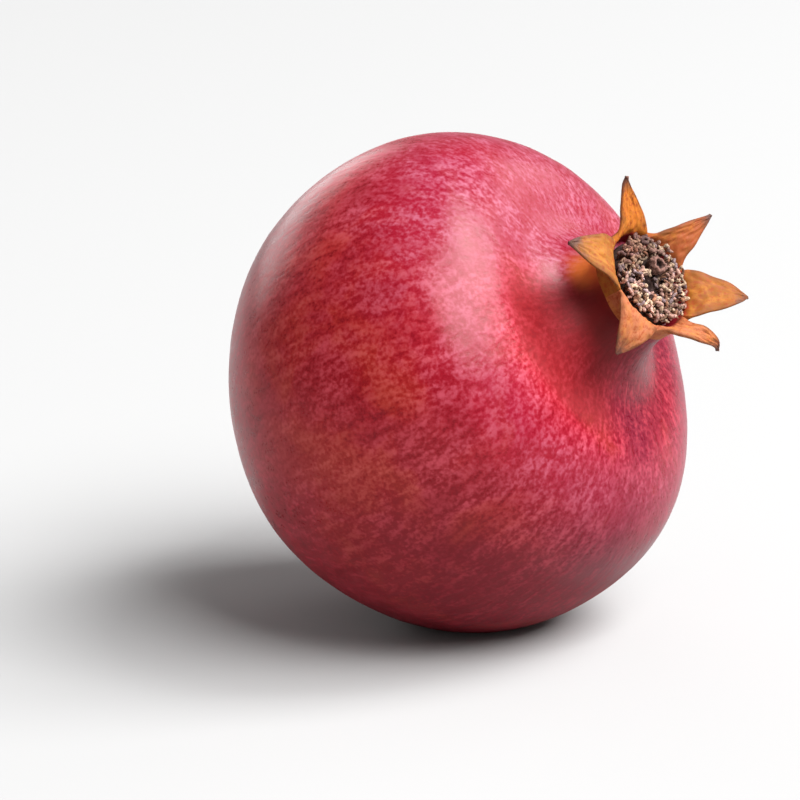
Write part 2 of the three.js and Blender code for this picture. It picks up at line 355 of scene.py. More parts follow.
@dataclass(frozen=True)
class BodyForm:
    """The form of the whole body, from the same driving dimensions as its solid.

    The cheeks are waves in its width. A lean is a single wave, and its height is a slope.
    """

    radius: float = 50.1
    stem_depth: float = 45.9
    shoulder_rise: float = 33.5
    shoulder_radius: float = 24.0
    neck_radius: float = 10.8
    rim_height: float = 50.1
    cup_depth: float = 4.3
    gap: float = 0.3
    lower_fullness: float = 0.56
    upper_fullness: float = 0.6
    neck_hollow: float = 0.45
    neck_flare: float = 0.75
    cheeks: tuple[Waves, ...] = (Waves(2, 0.45, 96), Waves(3, 0.8, 0), Waves(4, 0.75, 18))
    cheek_fade: Limits = (36, 46)
    body_lean: Waves = Waves(1, 0.068, 185)
    shoulder_lean: Waves = Waves(1, 0.051, 307)
    lean_start: float = 25.0
    neck_ridge: float = 0.3
    ridge_fade: Limits = (35, 43)
    dimple_radius: float = 8.0
    dimple_depth: float = 1.4
    crown_lean: float = 6.0
    crown_towards: float = 255.0
    crown_bend: float = 41.0
    lobe_count: int = 6
    first_lobe: float = 172.0

    @property
    def neck_top(self) -> float:
        """The height at which the rind ends below the crown."""
        return self.rim_height - self.cup_depth - self.gap

    @property
    def lean_axis(self) -> Array:
        """The level axis about which the crown leans over."""
        return polar(1.0, radians(self.crown_towards + 90), 0.0)

    def lobe_wave(self, angle: Array) -> Array:
        """A wave round the crown that is 1 below each lobe and -1 between two."""
        return wave(self.lobe_count, angle, self.first_lobe)

    def arcs(self) -> list[list[Spot]]:
        """The half outline.

        Returns:
            The control points of its three curves: up to the equator, over the shoulder, up the neck.
        """
        radius, depth, low = self.radius, self.stem_depth, self.lower_fullness
        rise, crest, full = self.shoulder_rise, self.shoulder_radius, self.upper_fullness
        return [
            [(0, -depth), (low * radius, -depth), (radius, -low * depth), (radius, 0)],
            [(radius, 0), (radius, full * rise), (blend(crest, radius, full), rise), (crest, rise)],
            [
                (crest, rise),
                (blend(crest, self.neck_radius, self.neck_hollow), rise),
                (self.neck_radius, blend(self.neck_top, rise, self.neck_flare)),
                (self.neck_radius, self.neck_top),
            ],
        ]

    def leaned(self, points: Array, share: Array | float) -> Array:
        """Points of the neck turned over about its bend.

        Args:
            points: The points in the body's frame.
            share: The share of the crown's lean that each of them takes.

        Returns:
            The turned points.
        """
        bend = np.array([0, 0, self.crown_bend])
        turn = radians(self.crown_lean) * np.asarray(share)
        return turned_about(points - bend, self.lean_axis, turn) + bend

    def skin(self, radius: Array, angle: Array, height: Array) -> Array:
        """Where the skin is, for points of the round outline.

        Args:
            radius: Their radii in the outline.
            angle: Their angles.
            height: Their heights in the outline.

        Returns:
            The points in the body's frame.
        """
        fade_start, fade_end = self.cheek_fade
        fade = 1 - np.clip((height - fade_start) / (fade_end - fade_start), 0, 1)
        swell = sum(cheek.at(angle) for cheek in self.cheeks)
        ridge = self.neck_ridge * smooth(height, *self.ridge_fade) * self.lobe_wave(angle)
        lean = self.body_lean.at(angle) + self.shoulder_lean.at(angle) * smooth(height, 0, self.lean_start)
        dimple = np.where(height < 0, self.dimple_depth * smooth(radius, self.dimple_radius, 0), 0)
        width = radius * (1 + fade * swell / self.radius + ridge / self.neck_radius)
        points = polar(width, angle, height + radius * fade * lean + dimple)
        return self.leaned(points, smooth(height, self.shoulder_rise, self.neck_top))


@dataclass(frozen=True)
class Stance:
    """How the fruit lies on the table: the rise of its axis, and the height of the body's middle."""

    form: BodyForm
    axis_rise: float = 31.4
    middle: float = 0.0

    @classmethod
    def on_frame(cls, form: BodyForm) -> Stance:
        """The stance whose rind reaches as high as the frame's solid.

        Args:
            form: The form of the body.

        Returns:
            The stance with the height of the body's middle set.
        """
        level = cls(form)
        angle = np.linspace(0, 2 * pi, MEASURED_AROUND)
        share = np.linspace(0, 1, MEASURED_ALONG)
        outline = np.concatenate([bezier(arc, share) for arc in form.arcs()])
        skin = form.skin(outline[:, :1], angle[None], outline[:, 1:])
        return cls(form, middle=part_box("rind")[1][2] / MM - level.body(skin)[..., 2].max())

    def body(self, points: Array) -> Array:
        """Points of the body's frame in the row's frame."""
        laid = turned_about(points, np.array([0.0, 1.0, 0.0]), radians(90 - self.axis_rise))
        return laid + np.array([0, 0, self.middle])

    def crown(self, points: Array) -> Array:
        """Points of the crown's frame in the row's frame.

        Args:
            points: The points.

        Returns:
            The same points, leaned over with the crown, set on the neck and laid on the table.
        """
        form = self.form
        rim = form.leaned(np.array([0.0, 0.0, form.rim_height]), 1.0)
        return self.body(turned_about(points, form.lean_axis, radians(form.crown_lean)) + rim)


# ---------------------------------------------------------------- finishes


def tint(shade: str) -> Array:
    """The linear red, green and blue of a screen colour, a hash sign and six hexadecimal digits."""
    screen = Color([part / FULL_BYTE for part in bytes.fromhex(shade[1:])])
    return np.array(screen.from_srgb_to_scene_linear())


def linear(shade: str) -> tuple[float, ...]:
    """A screen colour as a node's linear colour, with a full alpha."""
    return (*tint(shade), 1.0)


@dataclass(frozen=True)
class Cloud:
    """A cloudy pattern: the size of its lumps, its finer layers, their strength, and its swirl."""

    size: float
    layers: float = 2.0
    strength: float = 0.5
    swirl: float = 0.0


@dataclass(frozen=True)
class Spread:
    """How a value is carried over: its start becomes the low result and its end the high one."""

    start: float
    end: float
    low: float = 0.0
    high: float = 1.0


@dataclass(frozen=True)
class Fray:
    """A frayed edge, which a pattern shifts to and fro.

    A zone starts to show where its value is the start, and is full, which is the most, at the end.
    The shift is how far the pattern moves that value, and the swing is how far from its own middle
    the pattern has to be for that.
    """

    start: float
    end: float
    shift: float
    most: float = 1.0
    swing: float = 0.3
    middle: float = 0.5


class Sum(Enum):
    """What becomes of two numbers."""

    PRODUCT = "MULTIPLY"
    TOTAL = "ADD"
    GREATER = "MAXIMUM"


class Bench:
    """A bench on which one material is put together from nodes."""

    def __init__(self, name: str, roughness: float, specular: float) -> None:
        """Sets out a plain shader.

        Args:
            name: The material's name.
            roughness: Its mean roughness.
            specular: How strongly it mirrors, where 0.5 is an ordinary surface.
        """
        self.material = bpy.data.materials.new(name)
        self.material.use_nodes = True
        self.nodes = self.material.node_tree.nodes
        self.shader = self.nodes["Principled BSDF"]
        self.set(roughness=roughness, specular_ior_level=specular)

    def set(self, **settings: float | tuple[float, ...]) -> None:
        """Sets constants on the shader.

        Args:
            settings: The constants, each named as its socket is.
        """
        sockets = {socket.name.lower().replace(" ", "_"): socket for socket in self.shader.inputs}
        for name, value in settings.items():
            sockets[name].default_value = value

    def feed(self, socket: Socket, value: Value | tuple[float, ...]) -> None:
        """Links a socket to another, or sets it to a constant.

        Args:
            socket: The socket that is fed.
            value: The other socket or the constant.
        """
        if isinstance(value, Socket):
            self.material.node_tree.links.new(value, socket)
        else:
            socket.default_value = value

    def node(self, kind: str, **inputs: Value) -> bpy.types.Node:
        """Adds a node.

        Args:
            kind: Blender's name for its kind.
            inputs: What its sockets are fed, by their names.

        Returns:
            The node.
        """
        node = self.nodes.new(kind)
        for name, value in inputs.items():
            self.feed(node.inputs[name], value)
        return node

    def kept(self, name: str, vector: bool = False) -> Socket:
        """A value that the mesh keeps for the finish.

        Args:
            name: Its name in the mesh.
            vector: Whether it is a vector or a colour.

        Returns:
            The socket that gives it.
        """
        node = self.node("ShaderNodeAttribute")
        node.attribute_name = name
        return node.outputs["Vector" if vector else "Fac"]

    def place(self) -> Socket:
        """The place on the object.

        Returns:
            The socket that gives it, in millimetres.
        """
        spot = self.node("ShaderNodeTexCoord")
        scaled = self.node("ShaderNodeVectorMath")
        scaled.operation = "SCALE"
        self.feed(scaled.inputs["Vector"], spot.outputs["Object"])
        self.feed(scaled.inputs["Scale"], 1 / MM)
        return scaled.outputs[0]

    def cloud(self, where: Socket, cloud: Cloud) -> Socket:
        """A cloudy pattern.

        Args:
            where: The place it is drawn at.
            cloud: What it looks like.

        Returns:
            The socket of its value, about 0.2 to 0.8.
        """
        node = self.node(
            "ShaderNodeTexNoise",
            Vector=where,
            Scale=1 / cloud.size,
            Detail=cloud.layers,
            Roughness=cloud.strength,
            Distortion=cloud.swirl,
        )
        return node.outputs[0]

    def over(self, value: Value, spread: Spread) -> Socket:
        """A value carried over from one range to another.

        Args:
            value: The value.
            spread: The two ranges.

        Returns:
            The socket of the result, which stays between low and high.
        """
        node = self.node("ShaderNodeMapRange")
        node.interpolation_type = "SMOOTHSTEP"
        limits = (value, spread.start, spread.end, spread.low, spread.high)
        for socket, limit in zip(node.inputs, limits):
            self.feed(socket, limit)
        return node.outputs[0]

    def sum(self, kind: Sum, first: Value, second: Value) -> Socket:
        """A sum of two numbers.

        Args:
            kind: What becomes of them.
            first: The first number.
            second: The second number.

        Returns:
            The socket of the result.
        """
        node = self.node("ShaderNodeMath")
        node.operation = kind.value
        self.feed(node.inputs[0], first)
        self.feed(node.inputs[1], second)
        return node.outputs[0]

    def product(self, first: Value, second: Value) -> Socket:
        """Two numbers multiplied."""
        return self.sum(Sum.PRODUCT, first, second)

    def total(self, first: Value, second: Value) -> Socket:
        """Two numbers added."""
        return self.sum(Sum.TOTAL, first, second)

    def greater(self, first: Value, second: Value) -> Socket:
        """The greater of two numbers."""
        return self.sum(Sum.GREATER, first, second)

    def within(self, value: Value, pattern: Socket, spread: Spread) -> Socket:
        """A value that is let through as far as a pattern, carried over by a spread, allows."""
        return self.product(value, self.over(pattern, spread))

    def frayed(self, value: Socket, pattern: Socket, fray: Fray) -> Socket:
        """A zone with a frayed edge.

        Args:
            value: The value that the mesh keeps for the zone.
            pattern: The pattern that shifts it.
            fray: How its edge lies.

        Returns:
            The socket of the zone's share.
        """
        swing = Spread(fray.middle - fray.swing, fray.middle + fray.swing, -fray.shift, fray.shift)
        shifted = self.total(value, self.over(pattern, swing))
        return self.over(shifted, Spread(fray.start, fray.end, 0, fray.most))

    def mix(self, share: Value, first: Socket | str, second: Socket | str) -> Socket:
        """Two colours mixed.

        Args:
            share: How much of the second there is.
            first: A socket, or a screen colour in hexadecimal digits.
            second: A socket or a screen colour.

        Returns:
            The socket of the mixed colour.
        """
        node = self.node("ShaderNodeMix")
        node.data_type = "RGBA"
        for place, value in zip(MIX_INPUTS, (share, first, second)):
            self.feed(node.inputs[place], linear(value) if isinstance(value, str) else value)
        return node.outputs[MIX_OUTPUT]

    def emboss(self, pattern: Socket, depth: float, strength: float) -> None:
        """Presses a pattern into the surface, to a depth in millimetres and at a strength up to 1."""
        node = self.node("ShaderNodeBump", Strength=strength, Distance=depth * MM, Height=pattern)
        self.feed(self.shader.inputs["Normal"], node.outputs[0])

    def finish(self, colour: Socket, roughness: Value, pattern: Socket, sway: Spread) -> Material:
        """Feeds the colour and an uneven roughness to the shader.

        Args:
            colour: The colour.
            roughness: The mean roughness.
            pattern: The pattern that it follows.
            sway: How far the pattern takes it from the mean.

        Returns:
            The finished material.
        """
        self.feed(self.shader.inputs["Base Color"], colour)
        self.feed(self.shader.inputs["Roughness"], self.total(roughness, self.over(pattern, sway)))
        return self.material


@dataclass(frozen=True)
class RindFinish:
    """Smooth leathery skin, satin, crimson with a fine grain of pink and dark red specks.

    The areas are where a broad pattern lets a colour show. The pale and the dark specks follow the
    grain and the mottle, and are weaker on the neck, in quiet zones, in the pink blush that also
    paints the sheen, or in calm ones.
    """

    crimson: str = "#98061c"
    deep: str = "#8a0718"
    magenta: str = "#5e0523"
    # Pink of the blush on the upper side, which also paints its sheen.
    bloom: str = "#80122d"
    pink: str = "#9d4f64"
    rose: str = "#b63846"
    # Deeper red that paints shade on the side the fruit lies on.
    under: str = "#6d0516"
    dark: str = "#6e0514"
    brown: str = "#971a17"
    amber: str = "#b54640"
    # Deep red of one side of the neck, darkened partly as painted shade of the crown.
    scarlet: str = "#75030a"
    # Orange on one side of the neck: partly its own tinge, partly painted light.
    orange: str = "#d8722f"
    # The dark colour of the painted shadow that the crown casts on the neck.
    umber: str = "#570504"
    russet: str = "#875c34"
    roughness: float = 0.31
    matt_roughness: float = 0.58
    specular: float = 0.21
    fine_cloud: Cloud = Cloud(0.8)
    streak_cloud: Cloud = Cloud(1.5)
    mottle_cloud: Cloud = Cloud(7, 2, 0.6)
    broad_cloud: Cloud = Cloud(13, 3, 0.6, 0.4)
    wide_cloud: Cloud = Cloud(34)
    crimson_areas: Spread = Spread(0.36, 0.62)
    magenta_areas: Spread = Spread(0.3, 0.6, 0.6, 1)
    bloom_areas: Spread = Spread(0.3, 0.7, 0.5, 1)
    brown_areas: Spread = Spread(0.4, 0.62, 0.15, 0.9)
    under_areas: Spread = Spread(0.3, 0.6, 0.5, 0.9)
    neck_fray: Fray = Fray(0.1, 0.95, 0.25, 0.8, 0.2)
    patch_fray: Fray = Fray(0.05, 1.1, 0.2)
    scurf_fray: Fray = Fray(0.35, 0.75, 0.3)
    pale_grain: Spread = Spread(0.41, 0.67)
    pale_mottle: Spread = Spread(0.35, 0.65, 0.5, 1)
    pale_on_neck: Spread = Spread(0, 1, 1, 0.3)
    pale_in_quiet: Spread = Spread(0.1, 0.8, 1, 0.45)
    flank_quiet: float = 0.75
    soft_mottle: Spread = Spread(0.45, 0.7, 0, 0.3)
    dark_grain: Spread = Spread(0.52, 0.32)
    dark_mottle: Spread = Spread(0.65, 0.35, 0.25, 0.8)
    dark_in_bloom: Spread = Spread(0.2, 1, 1, 0.4)
    dark_in_calm: Spread = Spread(0, 0.8, 1, 0.45)
    pores_in_calm: Spread = Spread(0, 1, 1, 0.4)
    pore_depth: float = 0.13
    pore_strength: float = 0.4
    matt_zone: Limits = (0.2, 1.0)
    gloss_sway: Spread = Spread(0.35, 0.65, -0.04, 0.06)

    def material(self) -> Material:
        """Builds the skin's material.

        Returns:
            The material.
        """
        bench = Bench("rind_skin", self.roughness, self.specular)
        stroke = bench.kept("stroke", True)
        place = bench.place()
        neck = bench.kept("neck")
        bloom = bench.kept("bloom")
        calm = bench.kept("calm")
        fine = bench.cloud(place, self.fine_cloud)
        streak = bench.cloud(stroke, self.streak_cloud)
        mottle = bench.cloud(stroke, self.mottle_cloud)
        broad = bench.cloud(place, self.broad_cloud)
        wide = bench.cloud(place, self.wide_cloud)
        grain = bench.product(bench.total(fine, streak), 0.5)

        colour = bench.mix(bench.over(broad, self.crimson_areas), self.deep, self.crimson)
        flank = bench.within(bench.kept("flank"), wide, self.magenta_areas)
        colour = bench.mix(flank, colour, self.magenta)
        # Pink blush on the upper side: partly the skin's own blush, partly a painted sheen.
        colour = bench.mix(bench.within(bloom, broad, self.bloom_areas), colour, self.bloom)
        brown = bench.within(bench.kept("shade"), broad, self.brown_areas)
        colour = bench.mix(brown, colour, self.brown)
        # Painted shade: the side the fruit lies on is darkened to a deeper red.
        under = bench.within(bench.kept("under"), wide, self.under_areas)
        colour = bench.mix(under, colour, self.under)
        # Deep scarlet on one side of the neck: partly its own deep red, partly painted shade of the crown.
        colour = bench.mix(bench.frayed(neck, broad, self.neck_fray), colour, self.scarlet)

        quiet = bench.greater(under, bench.product(flank, self.flank_quiet))
        pale = bench.within(bench.over(grain, self.pale_grain), mottle, self.pale_mottle)
        pale = bench.within(pale, neck, self.pale_on_neck)
        pale = bench.within(pale, quiet, self.pale_in_quiet)
        pale = bench.greater(pale, bench.within(calm, mottle, self.soft_mottle))
        # In the blush the pale specks turn pink, adding to the painted sheen.
        light = bench.mix(brown, bench.mix(bloom, self.rose, self.pink), self.amber)
        colour = bench.mix(pale, colour, light)
        dark = bench.within(bench.over(grain, self.dark_grain), mottle, self.dark_mottle)
        dark = bench.within(dark, bloom, self.dark_in_bloom)
        dark = bench.within(dark, calm, self.dark_in_calm)
        colour = bench.mix(dark, colour, self.dark)

        # Painted shadow of the crown, darkening one side of the neck beside it.
        colour = bench.mix(bench.kept("gloom"), colour, self.umber)
        # Orange tongue on the neck: partly the skin's own orange tinge, partly a painted pool of light.
        colour = bench.mix(bench.frayed(bench.kept("patch"), broad, self.patch_fray), colour, self.orange)
        colour = bench.mix(bench.frayed(bench.kept("scurf"), streak, self.scurf_fray), colour, self.russet)
        pores = bench.within(bench.total(grain, streak), calm, self.pores_in_calm)
        bench.emboss(pores, self.pore_depth, self.pore_strength)
        matting = Spread(*self.matt_zone, self.roughness, self.matt_roughness)
        matt = bench.over(bench.greater(neck, bench.kept("under")), matting)
        return bench.finish(colour, matt, grain, self.gloss_sway)


@dataclass(frozen=True)
class CalyxFinish:
    """Dry leathery lobes, matt: orange-tan, redder at the root, brown along the edges and tips."""

    root: str = "#87131e"
    flush: str = "#8b3c1b"
    edge: str = "#582e19"
    tip: str = "#553c38"
    light: str = "#af6f29"
    roughness: float = 0.58
    specular: float = 0.15
    glow: float = 0.06
    glow_reach: tuple[float, float, float] = (1.0, 0.4, 0.15)
    streak_cloud: Cloud = Cloud(0.9, 4, 0.65)
    blotch_cloud: Cloud = Cloud(2.6, 3, 0.6, 0.3)
    speck_cloud: Cloud = Cloud(0.8, 3, 0.7)
    light_areas: Spread = Spread(0.42, 0.68, 0, 0.55)
    flush_streaks: Spread = Spread(0.52, 0.3, 0, 0.6)
    flush_specks: Spread = Spread(0.5, 0.36, 0, 0.7)
    root_fray: Fray = Fray(0.3, 0.85, 0.25)
    edge_fray: Fray = Fray(0.6, 1.15, 0.25, 0.75)
    tip_fray: Fray = Fray(0.72, 1.0, 0.12, 0.9)
    blotch_relief: float = 0.5
    depth: float = 0.14
    strength: float = 0.7
    gloss_sway: Spread = Spread(0.3, 0.7, -0.08, 0.12)

    def material(self) -> Material:
        """Builds the lobes' material.

        Returns:
            The material.
        """
        bench = Bench("calyx_skin", self.roughness, self.specular)
        bench.set(subsurface_weight=self.glow, subsurface_radius=self.glow_reach, subsurface_scale=MM)
        place = bench.place()
        streak = bench.cloud(bench.kept("vein", True), self.streak_cloud)
        blotch = bench.cloud(place, self.blotch_cloud)
        speck = bench.cloud(place, self.speck_cloud)
        colour = bench.mix(bench.over(blotch, self.light_areas), bench.kept("tone", True), self.light)
        colour = bench.mix(bench.over(streak, self.flush_streaks), colour, self.flush)
        colour = bench.mix(bench.over(speck, self.flush_specks), colour, self.flush)
        zones = (
            ("root", self.root_fray, self.root),
            ("edge", self.edge_fray, self.edge),
            ("along", self.tip_fray, self.tip),
        )
        for name, fray, shade in zones:
            colour = bench.mix(bench.frayed(bench.kept(name), blotch, fray), colour, shade)
        relief = bench.total(streak, bench.product(blotch, self.blotch_relief))
        bench.emboss(relief, self.depth, self.strength)
        return bench.finish(colour, self.roughness, streak, self.gloss_sway)


@dataclass(frozen=True)
class DriedFinish:
    """Dry wrinkled plant matter, matt, in a colour that the mesh keeps."""

    name: str
    dark: str
    grain: Cloud
    depth: float
    strength: float = 0.8
    roughness: float = 0.82
    specular: float = 0.3
    dark_grain: Spread = Spread(0.56, 0.36, 0, 0.85)
    gloss_sway: Spread = Spread(0.3, 0.7, -0.1, 0.1)

    def material(self) -> Material:
        """Builds the material.

        Returns:
            The material.
        """
        bench = Bench(self.name, self.roughness, self.specular)
        fine = bench.cloud(bench.place(), self.grain)
        colour = bench.mix(bench.over(fine, self.dark_grain), bench.kept("tone", True), self.dark)
        bench.emboss(fine, self.depth, self.strength)
        return bench.finish(colour, self.roughness, fine, self.gloss_sway)


@dataclass(frozen=True)
class BarkFinish:
    """Rough grey-brown bark with a pale cut end that has darker pith and rings."""

    bark: str = "#6a5140"
    crack: str = "#2f2018"
    wood: str = "#b9996b"
    pith: str = "#6f5236"
    roughness: float = 0.88
    specular: float = 0.25
    fine_cloud: Cloud = Cloud(0.6, 4, 0.7)
    coarse_cloud: Cloud = Cloud(1.9, 3, 0.6, 0.5)
    ring_cloud: Cloud = Cloud(0.35)
    cracks: Spread = Spread(0.55, 0.35)
    rings: Spread = Spread(0.4, 0.62, 0, 0.7)
    depth: float = 0.3
    strength: float = 0.8
    gloss_sway: Spread = Spread(0.3, 0.7, -0.1, 0.12)

    def material(self) -> Material:
        """Builds the stalk's material.

        Returns:
            The material.
        """
        bench = Bench("stalk_bark", self.roughness, self.specular)
        place = bench.place()
        fine = bench.cloud(place, self.fine_cloud)
        coarse = bench.cloud(place, self.coarse_cloud)
        ring = bench.cloud(bench.kept("ring", True), self.ring_cloud)
        bark = bench.mix(bench.over(coarse, self.cracks), self.bark, self.crack)
        wood = bench.mix(bench.over(ring, self.rings), self.wood, self.pith)
        colour = bench.mix(bench.kept("cut"), bark, wood)
        bench.emboss(bench.total(fine, coarse), self.depth, self.strength)
        return bench.finish(colour, self.roughness, fine, self.gloss_sway)


@dataclass(frozen=True)
class FloorFinish:
    """Plain matt white, like painted board."""

    shade: str = "#a9a9a9"
    roughness: float = 0.9
    specular: float = 0.1

    def material(self) -> Material:
        """Builds the floor's material.

        Returns:
            The material.
        """
        bench = Bench("floor_board", self.roughness, self.specular)
        bench.set(base_color=linear(self.shade))
        return bench.material


# ---------------------------------------------------------------- the pieces


def hand_over(piece: Piece, material: Material, node: str) -> Piece:
    """Dresses a finished piece and puts it in place of its solid.

    Args:
        piece: The piece.
        material: Its finish.
        node: The solid it stands for.

    Returns:
        The piece.
    """
    piece.data.materials.append(material)
    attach(piece, ROOT)
    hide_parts(node)
    mesh = piece.data
    mesh.calc_loop_triangles()
    log.info("%s: %d triangles", piece.name, len(mesh.loop_triangles))
    return piece


@dataclass(frozen=True)
class Zone:
    """A zone that faces an angle.

    Going round, it fades out where the cosine of the way to that angle falls from the second limit
    of its sides to the first. Each ramp fades it in over a range of heights or of radii.
    """

    towards: float
    sides: Limits
    ramps: tuple[Limits, ...] = ()

    def share(self, angle: Array | float, level: Array | float) -> Array:
        """How much of the zone there is.

        Args:
            angle: The angles of the points.
            level: The heights or the radii that the ramps are measured in.

        Returns:
            The share for each point, 0 to 1.
        """
        share = smooth(wave(1, angle, self.towards), *self.sides)
        for ramp in self.ramps:
            share = share * smooth(level, *ramp)
        return share


@dataclass(frozen=True)
class Tongue:
    """A tongue of colour on the neck: its angle, how narrow it is, the heights where it fades in."""

    towards: float
    narrowness: float
    ramp: Limits
    strength: float = 1.0

    def share(self, angle: Array, height: Array) -> Array:
        """How much of the tongue there is at each point, 0 to 1."""
        facing = (1 + wave(1, angle, self.towards)) / 2
        return self.strength * smooth(height, *self.ramp) * facing**self.narrowness


@dataclass
class Rind:
    """The smooth skin of the whole body, with its neck, its stem dimple and its resting spot.

    The rows are those of the outline's three curves. The tucks are how far its upper edge is drawn
    in beneath the crown, step by step. The rest edge is how softly the flat spot begins. The strokes
    are the grid on which the fine streaks lie, drawn out along the fruit.
    """

    stance: Stance
    finish: RindFinish = RindFinish()
    around: int = 320
    rows: tuple[int, int, int] = (86, 74, 56)
    tucks: tuple[float, ...] = (0.28, 1.4)
    tuck_height: float = 0.6
    lumps: Ripple = Ripple(0.09, 34, 11)
    dents: Ripple = Ripple(0.025, 9, 12)
    lump_fade: Limits = (44, 36)
    puckers: Waves = Waves(11, 0.22, 20)
    pucker_fade: Limits = (11, 4)
    rest_edge: float = 0.8
    soft_passes: int = 50
    soft_start: Limits = (24, 31)
    soft_end: Limits = (45, 41)
    stroke_length: float = 3.2
    stroke_radius: float = 18.0
    stroke_growth: float = 0.6
    # The neck's deep red zone on one side, partly painted shade of the crown.
    neck: Zone = Zone(-75, (0.4, 0.95))
    neck_fade: Limits = (32, 24.5)
    # An orange tongue on the neck: partly its own tinge, partly painted light.
    patch: Tongue = Tongue(-134, 22, (35, 43))
    # A painted shadow that the crown casts on one side of the neck.
    gloom: Tongue = Tongue(-84, 5, (35, 41), 0.9)
    # A pink blush on the upper side: partly the skin's own, partly a painted sheen.
    bloom: Zone = Zone(178, (-0.35, 0.75), ((2, 26),))
    # A pink ring along the shoulder's crest that paints a highlight: its strength, radius and width.
    crest_bloom: float = 0.75
    crest_radius: float = 38.0
    crest_width: float = 8.0
    flank: Zone = Zone(30, (-0.1, 0.8))
    shade: Zone = Zone(-90, (0.3, 1), ((30, 12), (-25, -5)))
    # The lower side towards the table, which the finish darkens as painted shade.
    under: Zone = Zone(-15, (0.3, 0.95), ((26, 6),))
    scurf_fade: Limits = (9, 3)
    calm_fade: Limits = (8, -18)

    def softened(self, outline: Array) -> Array:
        """The half outline with an even passage from the shoulder into the neck.

        Args:
            outline: The half outline, as pairs of radius and height.

        Returns:
            The evened outline.
        """
        even = outline.copy()
        for _ in range(self.soft_passes):
            even[1:-1] = (even[:-2] + 2 * even[1:-1] + even[2:]) / 4
        height = outline[:, 1:]
        return blend(outline, even, smooth(height, *self.soft_start) * smooth(height, *self.soft_end))

    def outline(self) -> Array:
        """The half outline, up to the edge of the skin that is tucked into the crown.

        Returns:
            Pairs of radius and height.
        """
        form = self.stance.form
        stem, shoulder, neck = (
            bezier(arc, np.arange(count) / count) for arc, count in zip(form.arcs(), self.rows)
        )
        top = form.neck_top
        edge = [(form.neck_radius, top)]
        edge += [(form.neck_radius - tuck, top + self.tuck_height) for tuck in self.tucks]
        return np.concatenate([self.softened(np.concatenate([stem[1:], shoulder, neck])), edge])

    def relief(self, points: Array, radius: Array, angle: Array, height: Array) -> Array:
        """How far the skin stands out from the even form's points, placed so in the outline."""
        lumps = smooth(height, *self.lump_fade) * (self.lumps(points) + self.dents(points))
        return lumps + self.puckers.at(angle) * smooth(radius, *self.pucker_fade) * (height < 0)

    def rested(self, points: Array) -> Array:
        """Points with the lowest of them pressed flat on the table.

        Args:
            points: The points in the row's frame.

        Returns:
            The points, with a soft edge round the flat spot.
        """
        level, edge = points[..., 2], self.rest_edge
        pressed = np.where(level < -edge, 0, (level + edge) ** 2 / (4 * edge))
        points[..., 2] = np.where(level > edge, level, pressed)
        return points

    def zones(self, radius: Array, angle: Array, height: Array) -> dict[str, Array]:
        """The zones in which the skin's colour differs.

        Args:
            radius: The radii of the points in the outline.
            angle: Their angles.
            height: Their heights in the outline.

        Returns:
            The share of each zone, by its name.
        """
        neck = self.neck.share(angle, height) * smooth(radius, *self.neck_fade) * (height > 0)
        # Painted highlight: a pink ring along the shoulder's crest.
        crest = self.crest_bloom * np.exp(-(((radius - self.crest_radius) / self.crest_width) ** 2))
        bloom = np.maximum(self.bloom.share(angle, height), crest * (height > 0))
        return {
            "neck": neck,
            "patch": self.patch.share(angle, height),
            "gloom": self.gloom.share(angle, height),
            "bloom": bloom * (1 - neck),
            "flank": self.flank.share(angle, height),
            "shade": self.shade.share(angle, height),
            "under": self.under.share(angle, height),
            "scurf": smooth(radius, *self.scurf_fade) * (height < 0),
            "calm": smooth(height, *self.calm_fade),
        }

    def build(self) -> Piece:
        """Builds and dresses the skin.

        Returns:
            The finished piece.
        """
        outline = self.outline()
        radius, angle, height = turned_out(outline, self.around)
        even = self.stance.form.skin(radius, angle, height)
        points = even + grid_normals(even, True) * self.relief(even, radius, angle, height)[..., None]
        steps = np.linalg.norm(np.diff(outline, axis=0), axis=1)
        length = np.concatenate([[0], np.cumsum(steps)])[:, None]
        stroke_radius = self.stroke_radius + self.stroke_growth * radius
        stroke = polar(stroke_radius, angle, length / self.stroke_length)
        shape = Shape()
        grid = self.rested(self.stance.body(points))
        shape.add_turned(grid, stroke=stroke, **self.zones(radius, angle, height))
        return hand_over(shape.build("rind_skin"), self.finish.material(), "rind")


class LobeTone(Enum):
    """The colours that a dried lobe takes."""

    GOLDEN = "#b26520"
    AMBER = "#844c17"
    TAN = "#8d5923"
    RUSSET = "#8f4a24"
    ROSY = "#a2603d"


@dataclass(frozen=True)
class Lobe:
    """One lobe: its root's angle, its tip's reach and rise, how it bends, and its colour.

    The swing turns the tip round the axis, the heading is the tip's slope up from level, and the
    twist turns the blade about its own length. The breadth is a share of the usual one.
    """

    angle: float
    reach: float
    rise: float
    swing: float
    heading: float
    twist: float
    breadth: float
    tone: LobeTone


@dataclass(frozen=True)
class Flutter:
    """A wave along the lobes: its height, how fast it runs along and across, where it sets in.

    The shift sets the waves of neighbouring lobes apart.
    """

    height: float
    along: float
    across: float
    shift: float
    onset: Limits

    def at(self, share: Array, side: Array, index: int) -> Array:
        """The wave at each point of one lobe."""
        phase = self.along * share + self.across * side + self.shift * index
        return self.height * smooth(share, *self.onset) * np.sin(phase)


@dataclass(frozen=True)
class Strip:
    """The grid of one lobe with its share of the tube, in rows from the root to the tip.

    The side runs from -1 to 1 across, the rise from 0 to 1 up the tube, and the along from 0 to 1 up
    the lobe.
    """

    index: int
    middle: Array
    side: Array
    rise: Array
    along: Array


